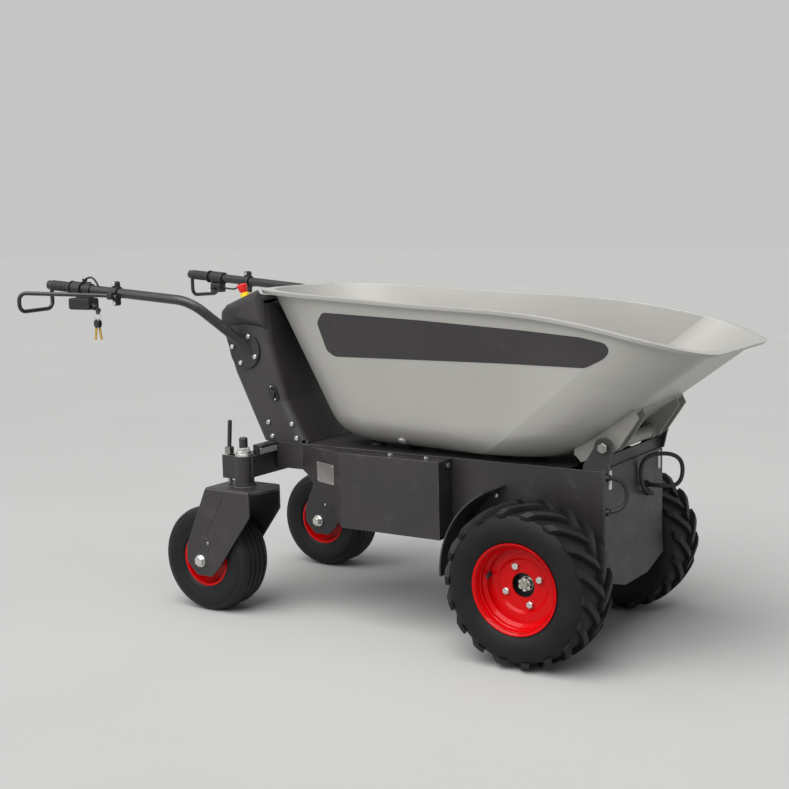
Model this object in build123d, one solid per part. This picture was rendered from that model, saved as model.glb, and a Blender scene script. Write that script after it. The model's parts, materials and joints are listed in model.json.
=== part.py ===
# Electric mini dumper: a pedestrian-steered barrow with a tipping tub, two driven
# wheels in front, two lockable castors behind and a tall cowl that carries the handlebars.
# Millimetres. X runs forwards and is measured here from the drive axle, Y runs to the
# machine's left, Z runs up from the ground. The finished pieces are moved along X so that
# the middle of the whole machine is at X = 0.
import os
from math import cos, hypot, radians, sin, sqrt, tan

from build123d import *

# Stock and clearances
sheet = 4.0                    # folded sheet steel of the chassis
running = 0.05                 # radial clearance of a turning or sliding fit
snug = 0.15                    # clearance round a fixed fastener or tube
play = 0.5                     # gap between pieces that move past each other

# Drive wheels
drive_radius = 205.0           # over the lugs
drive_width = 163.0            # over the side walls
drive_track = 570.0            # between the tyres' middle planes
lug_height = 13.0
lug_width = 15.0
lug_count = 18                 # on each half of the tread
lug_sweep = 42.0               # degrees between a lug and the axle
tyre_wall = 8.0
bead_radius = 107.0            # where the tyre sits on the rim
flange_radius = 115.0
rim_width = 150.0              # rim width over its flanges
rim_sheet = 4.0
dish_depth = 52.0              # wheel disc below the outer flange
hub_hole = 31.0                # radius of the disc's middle hole
wheel_bolt_circle = 50.0       # radius
wheel_bolt_count = 4
wheel_bolt_turn = 23.0         # degrees above straight ahead, first bolt
wheel_bolt_radius = 5.0
hub_flange_radius = 62.0
hub_flange = 10.0
hub_inner = -22.0              # inner face of the hub's cup, from the tyre's middle plane
hub_web = 4.0                  # floor of the hub's cup
stub_radius = 10.0
stub_length = 18.0
bearing_radius = 26.0          # bore of the axle tubes
motor_front = -84.0
half_shaft_radius = 15.0
axle_tube_radius = 32.0
gearcase_radius = 58.0
motor_radius = 55.0
motor_length = 190.0

# Castors
castor_radius = 150.0
castor_width = 118.0
castor_track = 560.0           # between the two pivots
castor_trail = 114.0
castor_pivot_x = -893.0
castor_bead_radius = 78.0
fork_plate = 6.0
fork_gap = 5.5                 # between the tyre and each fork cheek
fork_bend = 8.0                # outer radius where the cheeks bend down
fork_brow = 34.0               # how far the fork's top bows forwards
cheek_groove = [(93.0, 194.5), (24.0, 67.6)]   # ends of the pressed groove, from the axle
fork_top = 364.0
crown_plate = 8.0
castor_axle_radius = 10.0
kingpin_radius = 15.0
bush_radius = 20.0
nut_stack = 24.0
stud_radius = 12.0
stud_length = 28.0
axle_washer = 3.0
axle_washer_radius = 18.0
pivot_tube_radius = 27.0
pivot_tube_bottom = 374.0
pivot_tube_top = 450.0
beam_size = 60.0               # square tube across the back
beam_height = 420.0            # its middle
lock_pin_radius = 6.0
lock_pin_offset = 52.0         # behind the castor's pivot
lock_raised = 4.0              # pin's tip above the fork when it is out
lock_guide_top = 430.0
lock_wall_top = 450.0          # walls beside the pin's head
lock_pivot = 464.0             # the lever's pivot
lever_plate = 6.0
lever_pin_radius = 3.0
lever_length = 84.0

# Chassis
chassis_half = 182.0           # outer face of the side plates
chassis_top = 478.0
chassis_floor = 265.0          # underside
chassis_front = 156.0
chassis_rear = -852.0
tail_floor = 405.0             # underside behind the battery boxes
tail_start = -762.0            # where the underside reaches that height
box_proud = 68.0               # battery boxes, outside the side plates
box_front = -273.0
box_rear = -585.0
box_floor = 272.0
box_bolt_places = [(-273.0, 204.0, 462.0, (1, 0, 0)), (-443.0, 215.0, 477.0, (0, 0, 1)),
                   (-330.0, 215.0, 477.0, (0, 0, 1))]
panel_bend = 258.0             # height of the front panel's fold
panel_top = 483.0
skirt_bottom = 169.0
skirt_lean = 5.0               # lower part of the panel, forwards
skirt_corner = 200.0           # where the slanted bottom corners start
skirt_flat = 70.0
deck_front = 60.0
guard_radius = 246.0           # mudguards, about the axle
guard_outer = 300.0
guard_top_angle = 118.5        # degrees, from the front over the top
guard_tail_angle = 183.0
lamp_y = 154.5
lamp_width = 12.0
lamp_height = 47.0
lamp_depth = 4.0
lamp_top = 477.0
cable_radius = 5.5
cable_ends = [(-172.0, 462.0), (-172.0, 376.0), (75.0, 402.0), (80.0, 380.0)]
hoop_reach = 46.0
hoop_lean = 26.0
ring_middle = (210.0, 55.0, 446.0)
ring_half_width = 54.0
ring_half_height = 43.0
pad_radius = 22.0
pad_y = 95.0
pad_rows = (-560.0, -160.0)

# Tub
tub_bottom = 488.0
tub_wall = 5.0
tub_brim = 880.0               # height at which the widths are given
tub_rear_width = 486.0
tub_front_width = 560.0
tub_side_lean = 8.0            # degrees from upright
tub_side_round = 85.0
tub_end_round = 60.0
tub_rear_foot = -700.0         # rear wall at the floor
tub_rear_lean = 29.5           # degrees from upright
tub_front_foot = 34.0          # front wall at the floor
tub_front_slope = 36.5         # degrees from level
tub_tail_low = 190.0           # length of the rounded rear end, at the floor and at the brim
tub_tail_high = 320.0
tub_nose_low = 200.0           # length of the rounded front end, at the floor and at the brim
tub_nose_high = 244.0
tub_nose_flat = 0.55           # share of the front that runs straight across
rim_line = [(-1100, 17), (-900, 27), (-600, 17), (-300, 0.5), (0, -16), (150, -37), (250, -57),
            (350, -82), (420, -101), (490, -115), (560, -126)]
lip_side = 12.0
lip_rear = 38.0
lip_front = 22.0
lip_depth = 10.0
hinge_x = 154.0
hinge_z = 536.0
hinge_bolt_radius = 8.0
hinge_tube_radius = 17.0
ear_plate = 6.0
ear_round = 25.0
hinge_wall = 6.0               # plate between the ears
hinge_wall_top = 512.0
bracket_ribs = (153.0, 108.0)  # cheeks of the tipping bracket, from the middle

# Cowl and handlebars
cowl_half = 182.0
cowl_profile = [(-748, 478), (-818, 598), (-866, 755), (-888, 916), (-1022, 864), (-1041, 846), (-1047, 796),
                (-1002, 668), (-906, 478)]
cowl_head = [(-877, 797), (-888, 916), (-1022, 864), (-1041, 846), (-1047, 796), (-960, 806)]
cowl_round = 24.0
cowl_bolt_places = [(-878, 532), (-794, 532), (-865, 493), (-779, 493)]
cowl_wall = 4.0
cowl_head_proud = 10.0         # the head bulges past the sides
cowl_clear = 10.0              # room round the tub's tail
stop_x = -972.0                # emergency stop, on the cowl's top
stop_y = -150.0
stop_base_radius = 12.5
stop_base_height = 13.0
stop_stem_radius = 9.5
stop_head_radius = 16.5
stop_head_height = 20.0
stop_travel = 5.0
socket_x = -855.0              # charging socket, on the right side
socket_z = 617.0
socket_lean = 23.0             # degrees
handle_plate_places = [(-936, 775), (-914, 718), (-967, 699), (-996, 744)]
bar_foot = (-943.0, 746.0)     # x and z where the handlebar's middle line meets its plate
bar_bend = (-1062.0, 287.0, 880.0)
bar_bend_radius = 110.0
bar_end_y = 315.0
bar_end_z = 923.0
bar_radius = 14.0
bar_wall = 2.0
grip_radius = 15.5
grip_end = -1598.0             # rear end of the handlebars
grip_length = 78.0
clamp_x = -1334.0
clamp_half = 9.0               # along the bar
clamp_ear = 8.0                # half thickness of the ears
clamp_up = 33.0
clamp_down = 38.0
guard_corner = (-1590.0, 443.0, 906.0)
guard_low = 850.0
rod_radius = 6.0               # hand guards
rod_out = 21.0                 # the rod beside the handlebar at the clamp
rod_drop = 9.0
cover_bolt_radius = 4.0
control_radius = 19.5          # housings clamped round the bars
throttle_x = -1482.0
button_seat = 17.0
button_radius = 6.0
button_travel = 3.0
paddle_pin_radius = 4.0
key_x = -1440.0
key_low = 60.0                 # bottom of the key switch below the bar
key_radius = 3.0
key_hole = 7.0                 # hole in the bow, off the key's axis
split_ring = 11.0
switch_x = -1466.0
toggle_ball = 5.0
wire_radius = 3.0
socket_flange = 5.0
socket_radius = 9.0
handle_plate = 6.0

# Derived places
wheel_y = drive_track / 2
castor_y = castor_track / 2
castor_axle_x = castor_pivot_x - castor_trail
flange_y = rim_width / 2
disc_y = flange_y - dish_depth


# Basic shapes
def block(x, y, z):
    size = Box(x[1] - x[0], y[1] - y[0], z[1] - z[0])
    return Pos((x[0] + x[1]) / 2, (y[0] + y[1]) / 2, (z[0] + z[1]) / 2) * size


def bar(start, end, radius):
    start, end = Vector(*start), Vector(*end)
    along = end - start
    base = Plane(origin=start, z_dir=along)
    return base * Cylinder(radius, along.length, align=(Align.CENTER, Align.CENTER, Align.MIN))


def prism(points, y_low, y_high):
    outline = Wire.make_polygon([Vector(x, y_low, z) for x, z in points], close=True)
    return extrude(Face(outline), amount=y_high - y_low, dir=(0, 1, 0))


def turned(profile, x, z):
    # profile points are (radius, y) about an axis along Y
    outline = Wire.make_polygon([Vector(x + r, y, z) for r, y in profile], close=True)
    return revolve(Face(outline), axis=Axis((x, 0, z), (0, 1, 0)))


def upright(profile, x, y):
    # profile points are (radius, z) about an upright axis
    outline = Wire.make_polygon([Vector(x + r, y, z) for r, z in profile], close=True)
    return revolve(Face(outline), axis=Axis((x, y, 0), (0, 0, 1)))


def wire_tube(points, radii, radius):
    path = FilletPolyline(*points, radius=radii)
    return sweep(Plane(origin=path @ 0, z_dir=path % 0) * Circle(radius), path=path)


def along_y(shape):
    return shape.edges().filter_by(Axis.Y)


def other_side(shape):
    return mirror(shape, about=Plane.XZ)


def hex_bolt(at, outward, head_radius, head_height, shank_radius, shank_length):
    base = Plane(origin=at, z_dir=outward)
    head = extrude(RegularPolygon(head_radius, 6), amount=head_height)
    head = chamfer(head.faces().sort_by(Axis.Z)[-1].edges(), head_height * 0.15)
    shank = Cylinder(shank_radius, shank_length, align=(Align.CENTER, Align.CENTER, Align.MAX))
    return base * (head + shank)


nodes = {}


# Drive wheels, drawn about the Y axis with the tyre's middle plane at y = 0 and the
# machine's outer side towards +y
def drive_tyre():
    half = drive_width / 2
    crown = drive_radius - lug_height
    bead_y = flange_y - rim_sheet
    bulge = (flange_radius + crown) / 2
    shoulder = (crown - 10, half - 10)
    inner_bulge = half - tyre_wall
    inner_shoulder = (shoulder[0] - tyre_wall, shoulder[1] - tyre_wall)
    toe = bead_y - 1.6 * tyre_wall
    section = make_face([
        Line((bead_radius, toe), (bead_radius, bead_y)),
        Line((bead_radius, bead_y), (flange_radius, bead_y)),
        ThreePointArc((flange_radius, bead_y), (bulge, half), shoulder),
        ThreePointArc(shoulder, (crown, 0), (shoulder[0], -shoulder[1])),
        ThreePointArc((shoulder[0], -shoulder[1]), (bulge, -half), (flange_radius, -bead_y)),
        Line((flange_radius, -bead_y), (bead_radius, -bead_y)),
        Line((bead_radius, -bead_y), (bead_radius, -toe)),
        Line((bead_radius, -toe), (flange_radius, -toe)),
        ThreePointArc((flange_radius, -toe), (bulge, -inner_bulge), (inner_shoulder[0], -inner_shoulder[1])),
        ThreePointArc((inner_shoulder[0], -inner_shoulder[1]), (crown - tyre_wall, 0), inner_shoulder),
        ThreePointArc(inner_shoulder, (bulge, inner_bulge), (flange_radius, toe)),
        Line((flange_radius, toe), (bead_radius, toe)),
    ])
    carcass = revolve(section, axis=Axis.Y)

    # a ring with the lugs' outer shape, from which the slanted bars cut the lugs
    foot = crown - 0.6 * tyre_wall
    ring = turned([
        (foot - 6, half - 14), (crown - 12, half - 5), (crown - 3, half - 3),
        (drive_radius - 6, half - 16), (drive_radius, half / 4), (drive_radius, -half / 4),
        (drive_radius - 6, 16 - half), (crown - 3, 3 - half), (crown - 12, 5 - half),
        (foot - 6, 14 - half), (foot, 0),
    ], 0, 0)
    length = (half + lug_width) / cos(radians(lug_sweep))
    lugs = []
    for side in (1, -1):
        stagger = 0 if side > 0 else 180 / lug_count
        tilted = Pos(0, side * half / 2, drive_radius) * Rot(0, 0, side * lug_sweep)
        slab = tilted * Box(lug_width, length, drive_radius / 2)
        own_side = sorted((0, side * drive_width))
        slab = slab & block((-drive_radius, drive_radius), own_side, (0, 2 * drive_radius))
        for i in range(lug_count):
            lugs.append(Rot(0, i * 360 / lug_count + stagger, 0) * slab)
    cut = ring.intersect(Compound([s for lug in lugs for s in lug.solids()]))
    return carcass.fuse(*cut.solids())


def drive_rim():
    well = bead_radius - 11
    seat = 24
    slope = 8
    edge = flange_y - rim_sheet
    outside = [(flange_radius, -flange_y), (flange_radius, -edge), (bead_radius, -edge),
               (bead_radius, seat - edge), (well, seat + slope - edge), (well, edge - seat - slope),
               (bead_radius, edge - seat), (bead_radius, edge), (flange_radius, edge),
               (flange_radius, flange_y)]
    t = rim_sheet
    hump = 2.5
    inner_side = [(flange_radius - 2.5, flange_y), (bead_radius - t + 3, flange_y - 5),
                  (bead_radius - t, flange_y - 11), (bead_radius - t, edge - 12),
                  (bead_radius - t - hump, edge - 15), (bead_radius - t - hump, edge - seat),
                  (well - t, edge - seat - slope)]
    barrel = turned(outside + inner_side + [(r, -y) for r, y in reversed(inner_side)], 0, 0)
    step = 6
    disc = turned([(hub_hole, disc_y - t), (hub_hole, disc_y), (wheel_bolt_circle + 14, disc_y),
                   (wheel_bolt_circle + 20, disc_y + step), (well - t, disc_y + step),
                   (well - t, disc_y - t + step), (wheel_bolt_circle + 18, disc_y - t + step),
                   (wheel_bolt_circle + 12, disc_y - t)], 0, 0)
    rim = barrel + disc
    for place in wheel_bolt_places():
        rim -= bar((place[0], disc_y - 2 * t, place[1]), (place[0], disc_y + t, place[1]),
                   wheel_bolt_radius + snug)
    return rim


def wheel_bolt_places():
    turn = [radians(wheel_bolt_turn + i * 360 / wheel_bolt_count) for i in range(wheel_bolt_count)]
    return [(wheel_bolt_circle * cos(a), wheel_bolt_circle * sin(a)) for a in turn]


def drive_hub():
    # cup-shaped hub with the half shaft in one piece
    back = disc_y - rim_sheet
    shaft_end = 12 - wheel_y
    hub = turned([(0, shaft_end), (half_shaft_radius, shaft_end), (half_shaft_radius, hub_inner),
                  (hub_hole + 9, hub_inner), (hub_hole + 9, back - hub_flange),
                  (hub_flange_radius, back - hub_flange), (hub_flange_radius, back),
                  (hub_hole + 2, back), (hub_hole + 2, hub_web),
                  (stub_radius, hub_web), (stub_radius, hub_web + stub_length),
                  (0, hub_web + stub_length)], 0, 0)
    for place in wheel_bolt_places():
        hub -= bar((place[0], back - 2 * hub_flange, place[1]), (place[0], back + 1, place[1]),
                   wheel_bolt_radius + snug)
    return hub


def wheel_fasteners():
    length = rim_sheet + hub_flange + 6
    bolts = [hex_bolt((x, disc_y, z), (0, 1, 0), 9.5, 8, wheel_bolt_radius, length)
             for x, z in wheel_bolt_places()]
    crown_height = stub_length - 4
    nut = extrude(RegularPolygon(stub_radius + 8, 6), amount=crown_height)
    nut -= Cylinder(stub_radius, 3 * stub_length)
    for i in range(3):
        nut -= Pos(0, 0, crown_height) * Rot(0, 0, 30 + i * 60) * Box(4 * stub_radius, 4, crown_height * 0.8)
    return bolts + [Plane(origin=(0, hub_web, 0), z_dir=(0, 1, 0)) * nut]


def place_wheel(shape, side):
    placed = Pos(0, wheel_y, drive_radius) * shape
    return placed if side == "left" else other_side(placed)


tyre, rim, hub = drive_tyre(), drive_rim(), drive_hub()
for side in ("left", "right"):
    nodes["drive_tyre_" + side] = [place_wheel(tyre, side)]
    nodes["drive_rim_" + side] = [place_wheel(rim, side)]
    nodes["drive_hub_" + side] = [place_wheel(hub, side)]
    nodes["wheel_fasteners_" + side] = [place_wheel(piece, side) for piece in wheel_fasteners()]


# Axle, gear case and motor under the floor
def axle_housing():
    tube_end = wheel_y + hub_inner - 18
    case = turned([(0, -70), (48, -70), (gearcase_radius, -36), (gearcase_radius, 36), (48, 70), (0, 70)],
                  0, drive_radius)
    tubes = turned([(0, -tube_end), (axle_tube_radius, -tube_end), (axle_tube_radius, tube_end),
                    (0, tube_end)],
                   0, drive_radius)
    nose = bar((0, 0, drive_radius), (motor_front, 0, drive_radius), motor_radius - 6)
    housing = case + tubes + nose
    for side in (1, -1):
        housing += block((-34, 34), (side * 120 - 22, side * 120 + 22), (drive_radius, chassis_floor))
    cavity = turned([(0, -58), (38, -58), (gearcase_radius - 10, -30), (gearcase_radius - 10, 30),
                     (38, 58), (0, 58)],
                    0, drive_radius)
    bore = bar((0, -tube_end - 1, drive_radius), (0, tube_end + 1, drive_radius), bearing_radius)
    return housing - cavity - bore


def axle_bearing():
    tube_end = wheel_y + hub_inner - 18
    inner = half_shaft_radius + running
    return turned([(inner, tube_end - 22), (bearing_radius, tube_end - 22), (bearing_radius, tube_end - 2),
                   (inner, tube_end - 2)], 0, drive_radius)


def drive_motor():
    rear = motor_front - motor_length
    body = bar((motor_front, 0, drive_radius), (rear, 0, drive_radius), motor_radius)
    body = fillet(body.edges().group_by(Axis.X)[0], 8)
    for i in range(5):
        at = motor_front - 40 - i * 22
        ring = bar((at, 0, drive_radius), (at - 6, 0, drive_radius), motor_radius + 1)
        body -= ring - bar((at + 1, 0, drive_radius), (at - 7, 0, drive_radius), motor_radius - 4)
    return body


nodes["axle_housing"] = [axle_housing()]
nodes["axle_bearings"] = [axle_bearing(), other_side(axle_bearing())]
nodes["drive_motor"] = [drive_motor()]


# Chassis tray: floor and side plates folded from one sheet
tray_side = [(chassis_front, chassis_top), (chassis_front, chassis_floor), (box_rear, chassis_floor),
             (tail_start, tail_floor), (chassis_rear, tail_floor), (chassis_rear, chassis_top)]
window = ((box_rear + 12, box_front - 12), (box_floor + 14, chassis_top - 14))


def chassis_tray():
    inside_half = chassis_half - sheet
    inner = [(chassis_front + 1, chassis_top + 1), (chassis_front + 1, chassis_floor + sheet),
             (box_rear + sheet / 2, chassis_floor + sheet), (tail_start + sheet / 2, tail_floor + sheet),
             (chassis_rear + sheet, tail_floor + sheet), (chassis_rear + sheet, chassis_top + 1)]
    outer = prism(tray_side, -chassis_half, chassis_half)
    outer = fillet(along_y(outer).filter_by_position(Axis.X, chassis_rear - 1, chassis_rear + 1)
                   .filter_by_position(Axis.Z, tail_floor - 1, tail_floor + 1), 12)
    tray = outer - prism(inner, -inside_half, inside_half)
    return tray - block(window[0], (-chassis_half - 1, chassis_half + 1), window[1])


def battery_box_solid(inset):
    low, high = box_floor + inset, chassis_top - 1 - inset
    rise = (tail_floor - chassis_floor) / (box_rear - tail_start)
    wedge_low = low + (box_rear - tail_start) * rise
    front, rear = box_front - inset, tail_start + 2.5 * inset
    profile = [(front, high), (front, low), (box_rear, low), (rear, min(wedge_low, high - 20)), (rear, high)]
    outer_y = chassis_half + box_proud - inset
    body = prism(profile, chassis_half, outer_y)
    plan = [Vector(front + 1, chassis_half - 1, 0), Vector(front + 1, outer_y, 0),
            Vector(box_rear, outer_y, 0),
            Vector(rear, chassis_half, 0), Vector(rear, chassis_half - 1, 0)]
    return body & extrude(Face(Wire.make_polygon(plan, close=True)), amount=2 * high, dir=(0, 0, 1))


def battery_box():
    box = battery_box_solid(0) - battery_box_solid(sheet - 1)
    for x, y, z, outward in box_bolt_places:
        face = Vector(x, y, z)
        box -= bar(face - Vector(*outward) * 2 * sheet, face + Vector(*outward), cover_bolt_radius + snug)
    return box


def front_panel():
    back, face = chassis_front, chassis_front + sheet
    profile = [(face, panel_top), (face, panel_bend), (face + skirt_lean, skirt_bottom),
               (back + skirt_lean, skirt_bottom), (back, panel_bend), (back, panel_top)]
    half = chassis_half
    shield = [(-half, panel_top), (half, panel_top), (half, skirt_corner), (skirt_flat, skirt_bottom),
              (-skirt_flat, skirt_bottom), (-half, skirt_corner)]
    outline = Wire.make_polygon([Vector(back - 1, y, z) for y, z in shield], close=True)
    panel = prism(profile, -half, half) & extrude(Face(outline), amount=4 * sheet, dir=(1, 0, 0))
    return panel - hoop - ring_cable


def deck_plate():
    inside = chassis_half - sheet
    deck = block((chassis_rear + sheet, deck_front), (-inside, inside), (chassis_top - sheet, chassis_top))
    return deck


nodes["chassis_tray"] = [chassis_tray()]
nodes["battery_boxes"] = [battery_box(), other_side(battery_box())]
nodes["deck_plate"] = [deck_plate()]


# Mudguards, lamps, cables and what the tray holds
def mudguard():
    ring = turned([(guard_radius - sheet, chassis_half), (guard_radius, chassis_half),
                   (guard_radius, guard_outer), (guard_radius - sheet, guard_outer)], 0, drive_radius)
    reach = 2 * guard_radius
    fan = [(0, drive_radius)]
    for angle in (guard_top_angle, (guard_top_angle + guard_tail_angle) / 2, guard_tail_angle):
        fan.append((reach * cos(radians(angle)), drive_radius + reach * sin(radians(angle))))
    return ring & prism(fan, chassis_half, guard_outer)


def marker_lamp(side):
    face = chassis_front + sheet
    lamp = block((face, face + lamp_depth), (side * lamp_y - lamp_width / 2, side * lamp_y + lamp_width / 2),
                 (lamp_top - lamp_height, lamp_top))
    return fillet(lamp.faces().sort_by(Axis.X)[-1].edges() + lamp.edges().filter_by(Axis.X), 1.5)


def in_front(cable):
    # trimmed flush with the panel's back
    tray = block((0, chassis_front), (-chassis_half, chassis_half), (chassis_floor, chassis_top))
    return cable - tray


def cable_hoop():
    # stands out of the panel as one upright bow
    back = chassis_front
    (y_high, z_high), (y_low, z_low) = cable_ends[:2]
    out, inboard = hoop_reach, hoop_lean
    path = [(back, y_high, z_high), (back + out, y_high + inboard, z_high),
            (back + out, y_low + inboard, z_low), (back, y_low, z_low)]
    return in_front(wire_tube(path, 0.47 * (z_high - z_low), cable_radius))


def cable_ring():
    # one full turn that faces half sideways, with both ends in the panel
    back = chassis_front
    (y_out, z_out), (y_in, z_in) = cable_ends[2:]
    x, y, z = ring_middle
    along, across, up = 0.8 * ring_half_width, 0.6 * ring_half_width, ring_half_height
    path = [(back, y_out, z_out), (back + 34, y_out - 8, z_out - 1), (x + along, y + across, z - up),
            (x + along, y + across, z + up), (x - along, y - across, z + up),
            (x - along, y - across, z - up - 6),
            (back + 36, y_in - 12, z_in - 2), (back, y_in, z_in)]
    return in_front(wire_tube(path, [22, 42, 42, 42, 24, 16], cable_radius))


def cable_gland(y, z):
    face = chassis_front + sheet
    gland = bar((face, y, z), (face + 5, y, z), cable_radius + 4)
    gland += bar((face + 5, y, z), (face + 9, y, z), cable_radius + 2.5)
    return gland


hoop, ring_cable = cable_hoop(), cable_ring()
glands = [cable_gland(y, z) - hoop - ring_cable for y, z in cable_ends]
nodes["mudguards"] = [mudguard(), other_side(mudguard())]
nodes["marker_lamps"] = [marker_lamp(1), marker_lamp(-1)]
nodes["front_panel"] = [front_panel()]
nodes["cables"] = [hoop, ring_cable]
nodes["cable_glands"] = glands


def battery():
    high = window[1][1] - 8
    inner, outer = chassis_half - 92, chassis_half + box_proud - sheet - 1
    case = block((window[0][0] + 4, window[0][1] - 4), (inner, outer), (chassis_floor + sheet, high))
    # the case stands on the floor inside and passes through the side plate's window
    case -= block((window[0][0], window[0][1]), (chassis_half - sheet - 1, outer + 1),
                  (chassis_floor, window[1][0] + 2))
    for x in (window[0][0] + 40, window[0][1] - 40):
        case += bar((x, inner + 30, high), (x, inner + 30, high + 8), 8)
    return case


def motor_controller():
    low = chassis_floor + sheet
    case = block((-200, -50), (-70, 70), (low, low + 26))
    for i in range(9):
        fin = -62 + i * 15.5
        case += block((-194, -56), (fin - 2, fin + 2), (low + 26, low + 52))
    return case


def rest_pad(x, y):
    pad = upright([(0, chassis_top), (pad_radius, chassis_top), (pad_radius - 2, tub_bottom - play),
                   (0, tub_bottom - play)], x, y)
    return pad


nodes["batteries"] = [battery(), other_side(battery())]
nodes["motor_controller"] = [motor_controller()]
nodes["tub_rest_pads"] = [rest_pad(x, y) for x in pad_rows for y in (-pad_y, pad_y)]


# Tub: a loft of level outlines, hollowed by a smaller one, cut along the rim line
def floor_round(rise, radius):
    # how far a wall stands in from its straight line while it curves into the floor
    if rise >= radius:
        return 0.0
    return radius - sqrt(radius ** 2 - (radius - rise) ** 2)


def tub_outline(height, grow, lip):
    bottom = tub_bottom - grow
    rise = height - bottom
    lean = (height - tub_brim) * tan(radians(tub_side_lean)) + grow + lip * lip_side
    lean -= floor_round(rise, tub_side_round + grow)
    rear_half = tub_rear_width / 2 + lean
    front_half = tub_front_width / 2 + lean
    level = height - tub_bottom
    ends = floor_round(rise, tub_end_round + grow)
    rear = tub_rear_foot - level * tan(radians(tub_rear_lean)) + ends
    rear -= grow / cos(radians(tub_rear_lean)) + lip * lip_rear
    front = tub_front_foot + level / tan(radians(tub_front_slope)) - ends
    front += grow / sin(radians(tub_front_slope)) + lip * lip_front
    share = level / (tub_brim - tub_bottom)
    tail = tub_tail_low + (tub_tail_high - tub_tail_low) * share
    nose = tub_nose_low + (tub_nose_high - tub_nose_low) * share
    flat = tub_nose_flat * front_half
    bow = front - nose
    turn = (nose, front_half - flat)
    outline = make_face([
        EllipticalCenterArc((rear + tail, 0), tail, rear_half, start_angle=90, arc_size=180),
        Line((rear + tail, -rear_half), (bow, -front_half)),
        EllipticalCenterArc((bow, -flat), *turn, start_angle=270, arc_size=90),
        Line((front, -flat), (front, flat)),
        EllipticalCenterArc((bow, flat), *turn, start_angle=0, arc_size=90),
        Line((bow, front_half), (rear + tail, rear_half)),
    ])
    return Pos(0, 0, height) * outline


def tub_solid(grow, lip=0):
    # lip is 1 for the wider outline of the rim's lip
    bottom = tub_bottom - grow
    corner = tub_side_round + grow
    bowl = [bottom + corner * (1 - cos(radians(angle))) for angle in (0, 18, 36, 54, 72, 90)]
    bowl.append(bottom + 1.25 * corner)
    top = tub_brim + 70
    low_part = loft([tub_outline(height, grow, lip) for height in bowl])
    walls = loft([tub_outline(height, grow, lip) for height in (bowl[-1], top)], ruled=True)
    return low_part + walls


def above_rim(drop):
    # everything above the rim line, lowered by a distance
    line = Spline(*[(x, tub_brim + rise - drop) for x, rise in rim_line])
    start, end = line @ 0, line @ 1
    high, far = tub_brim + 400, end.X + 400
    face = make_face([line, Polyline(end, (far, end.Y), (far, high), (start.X, high), start)])
    half = tub_front_width
    return extrude(Plane.XZ.offset(-half) * face, amount=2 * half, dir=(0, -1, 0))


def tub():
    outer, inner = tub_solid(0), tub_solid(-tub_wall)
    lip = (tub_solid(0, lip=1) - above_rim(0)) & above_rim(lip_depth)
    body = outer - above_rim(0)
    return (body + lip) - inner


tub_body = tub()
nodes["tub"] = [tub_body]


# Tipping hinge: ears and the wall between them on the chassis, bracket and hinge tube on the tub
ear_foot = chassis_top - 44


def hinge_ear():
    inner, outer = chassis_half - sheet - ear_plate, chassis_half - sheet
    base = [(hinge_x - 54, ear_foot), (chassis_front, ear_foot), (chassis_front, panel_top + play),
            (hinge_x + ear_round - 12, panel_top + play), (hinge_x + ear_round, hinge_z),
            (hinge_x - ear_round, hinge_z), (hinge_x - 54, chassis_top + 10)]
    ear = prism(base, inner, outer)
    ear += bar((hinge_x, inner, hinge_z), (hinge_x, outer, hinge_z), ear_round)
    ear -= bar((hinge_x, inner - 1, hinge_z), (hinge_x, outer + 1, hinge_z), hinge_bolt_radius + snug)
    return ear


def hinge_cross_wall():
    inner = chassis_half - sheet - ear_plate
    return block((chassis_front - hinge_wall, chassis_front), (-inner, inner), (ear_foot, hinge_wall_top))


def hinge_bolt():
    outer = chassis_half - sheet
    return hex_bolt((hinge_x, outer, hinge_z), (0, 1, 0), hinge_bolt_radius * 1.75, 9, hinge_bolt_radius, 58)


def tipping_bracket():
    inner = chassis_half - sheet - ear_plate
    reach = inner - play
    tube = bar((hinge_x, -reach, hinge_z), (hinge_x, reach, hinge_z), hinge_tube_radius)
    slope = tan(radians(tub_front_slope))
    low_x, high_x = hinge_x - 88, hinge_x + 72

    def under_tub(x, drop):
        return tub_bottom + (x - tub_front_foot) * slope - drop

    cheek = [(low_x, under_tub(low_x, 0)), (low_x + 18, under_tub(low_x, 20)), (hinge_x + 16, hinge_z - 12),
             (hinge_x + 31, hinge_z - 1), (high_x + 10, under_tub(high_x, 20)),
             (high_x, under_tub(high_x, 0))]
    bracket = tube
    for y in bracket_ribs:
        for side in (1, -1):
            bracket += prism(cheek, side * y - 3, side * y + 3)
            bracket += bar((hinge_x, side * (y - 14), hinge_z), (hinge_x, side * (y + 2), hinge_z),
                           hinge_tube_radius + 3)
    plate = [(low_x, under_tub(low_x, 6)), (high_x, under_tub(high_x, 6)), (high_x, under_tub(high_x, -12)),
             (low_x, under_tub(low_x, -12))]
    bracket += prism(plate, -bracket_ribs[0] - 3, bracket_ribs[0] + 3)
    bracket -= tub_solid(0)
    bore = hinge_bolt_radius + running
    return bracket - bar((hinge_x, -reach - 1, hinge_z), (hinge_x, reach + 1, hinge_z), bore)


nodes["hinge_ears"] = [hinge_ear(), other_side(hinge_ear()), hinge_cross_wall()]
nodes["hinge_bolts"] = [hinge_bolt(), other_side(hinge_bolt())]
nodes["tipping_bracket"] = [tipping_bracket()]


# Rear beam with the castor pivots and the lock guides
lock_x = castor_pivot_x - lock_pin_offset


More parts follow.
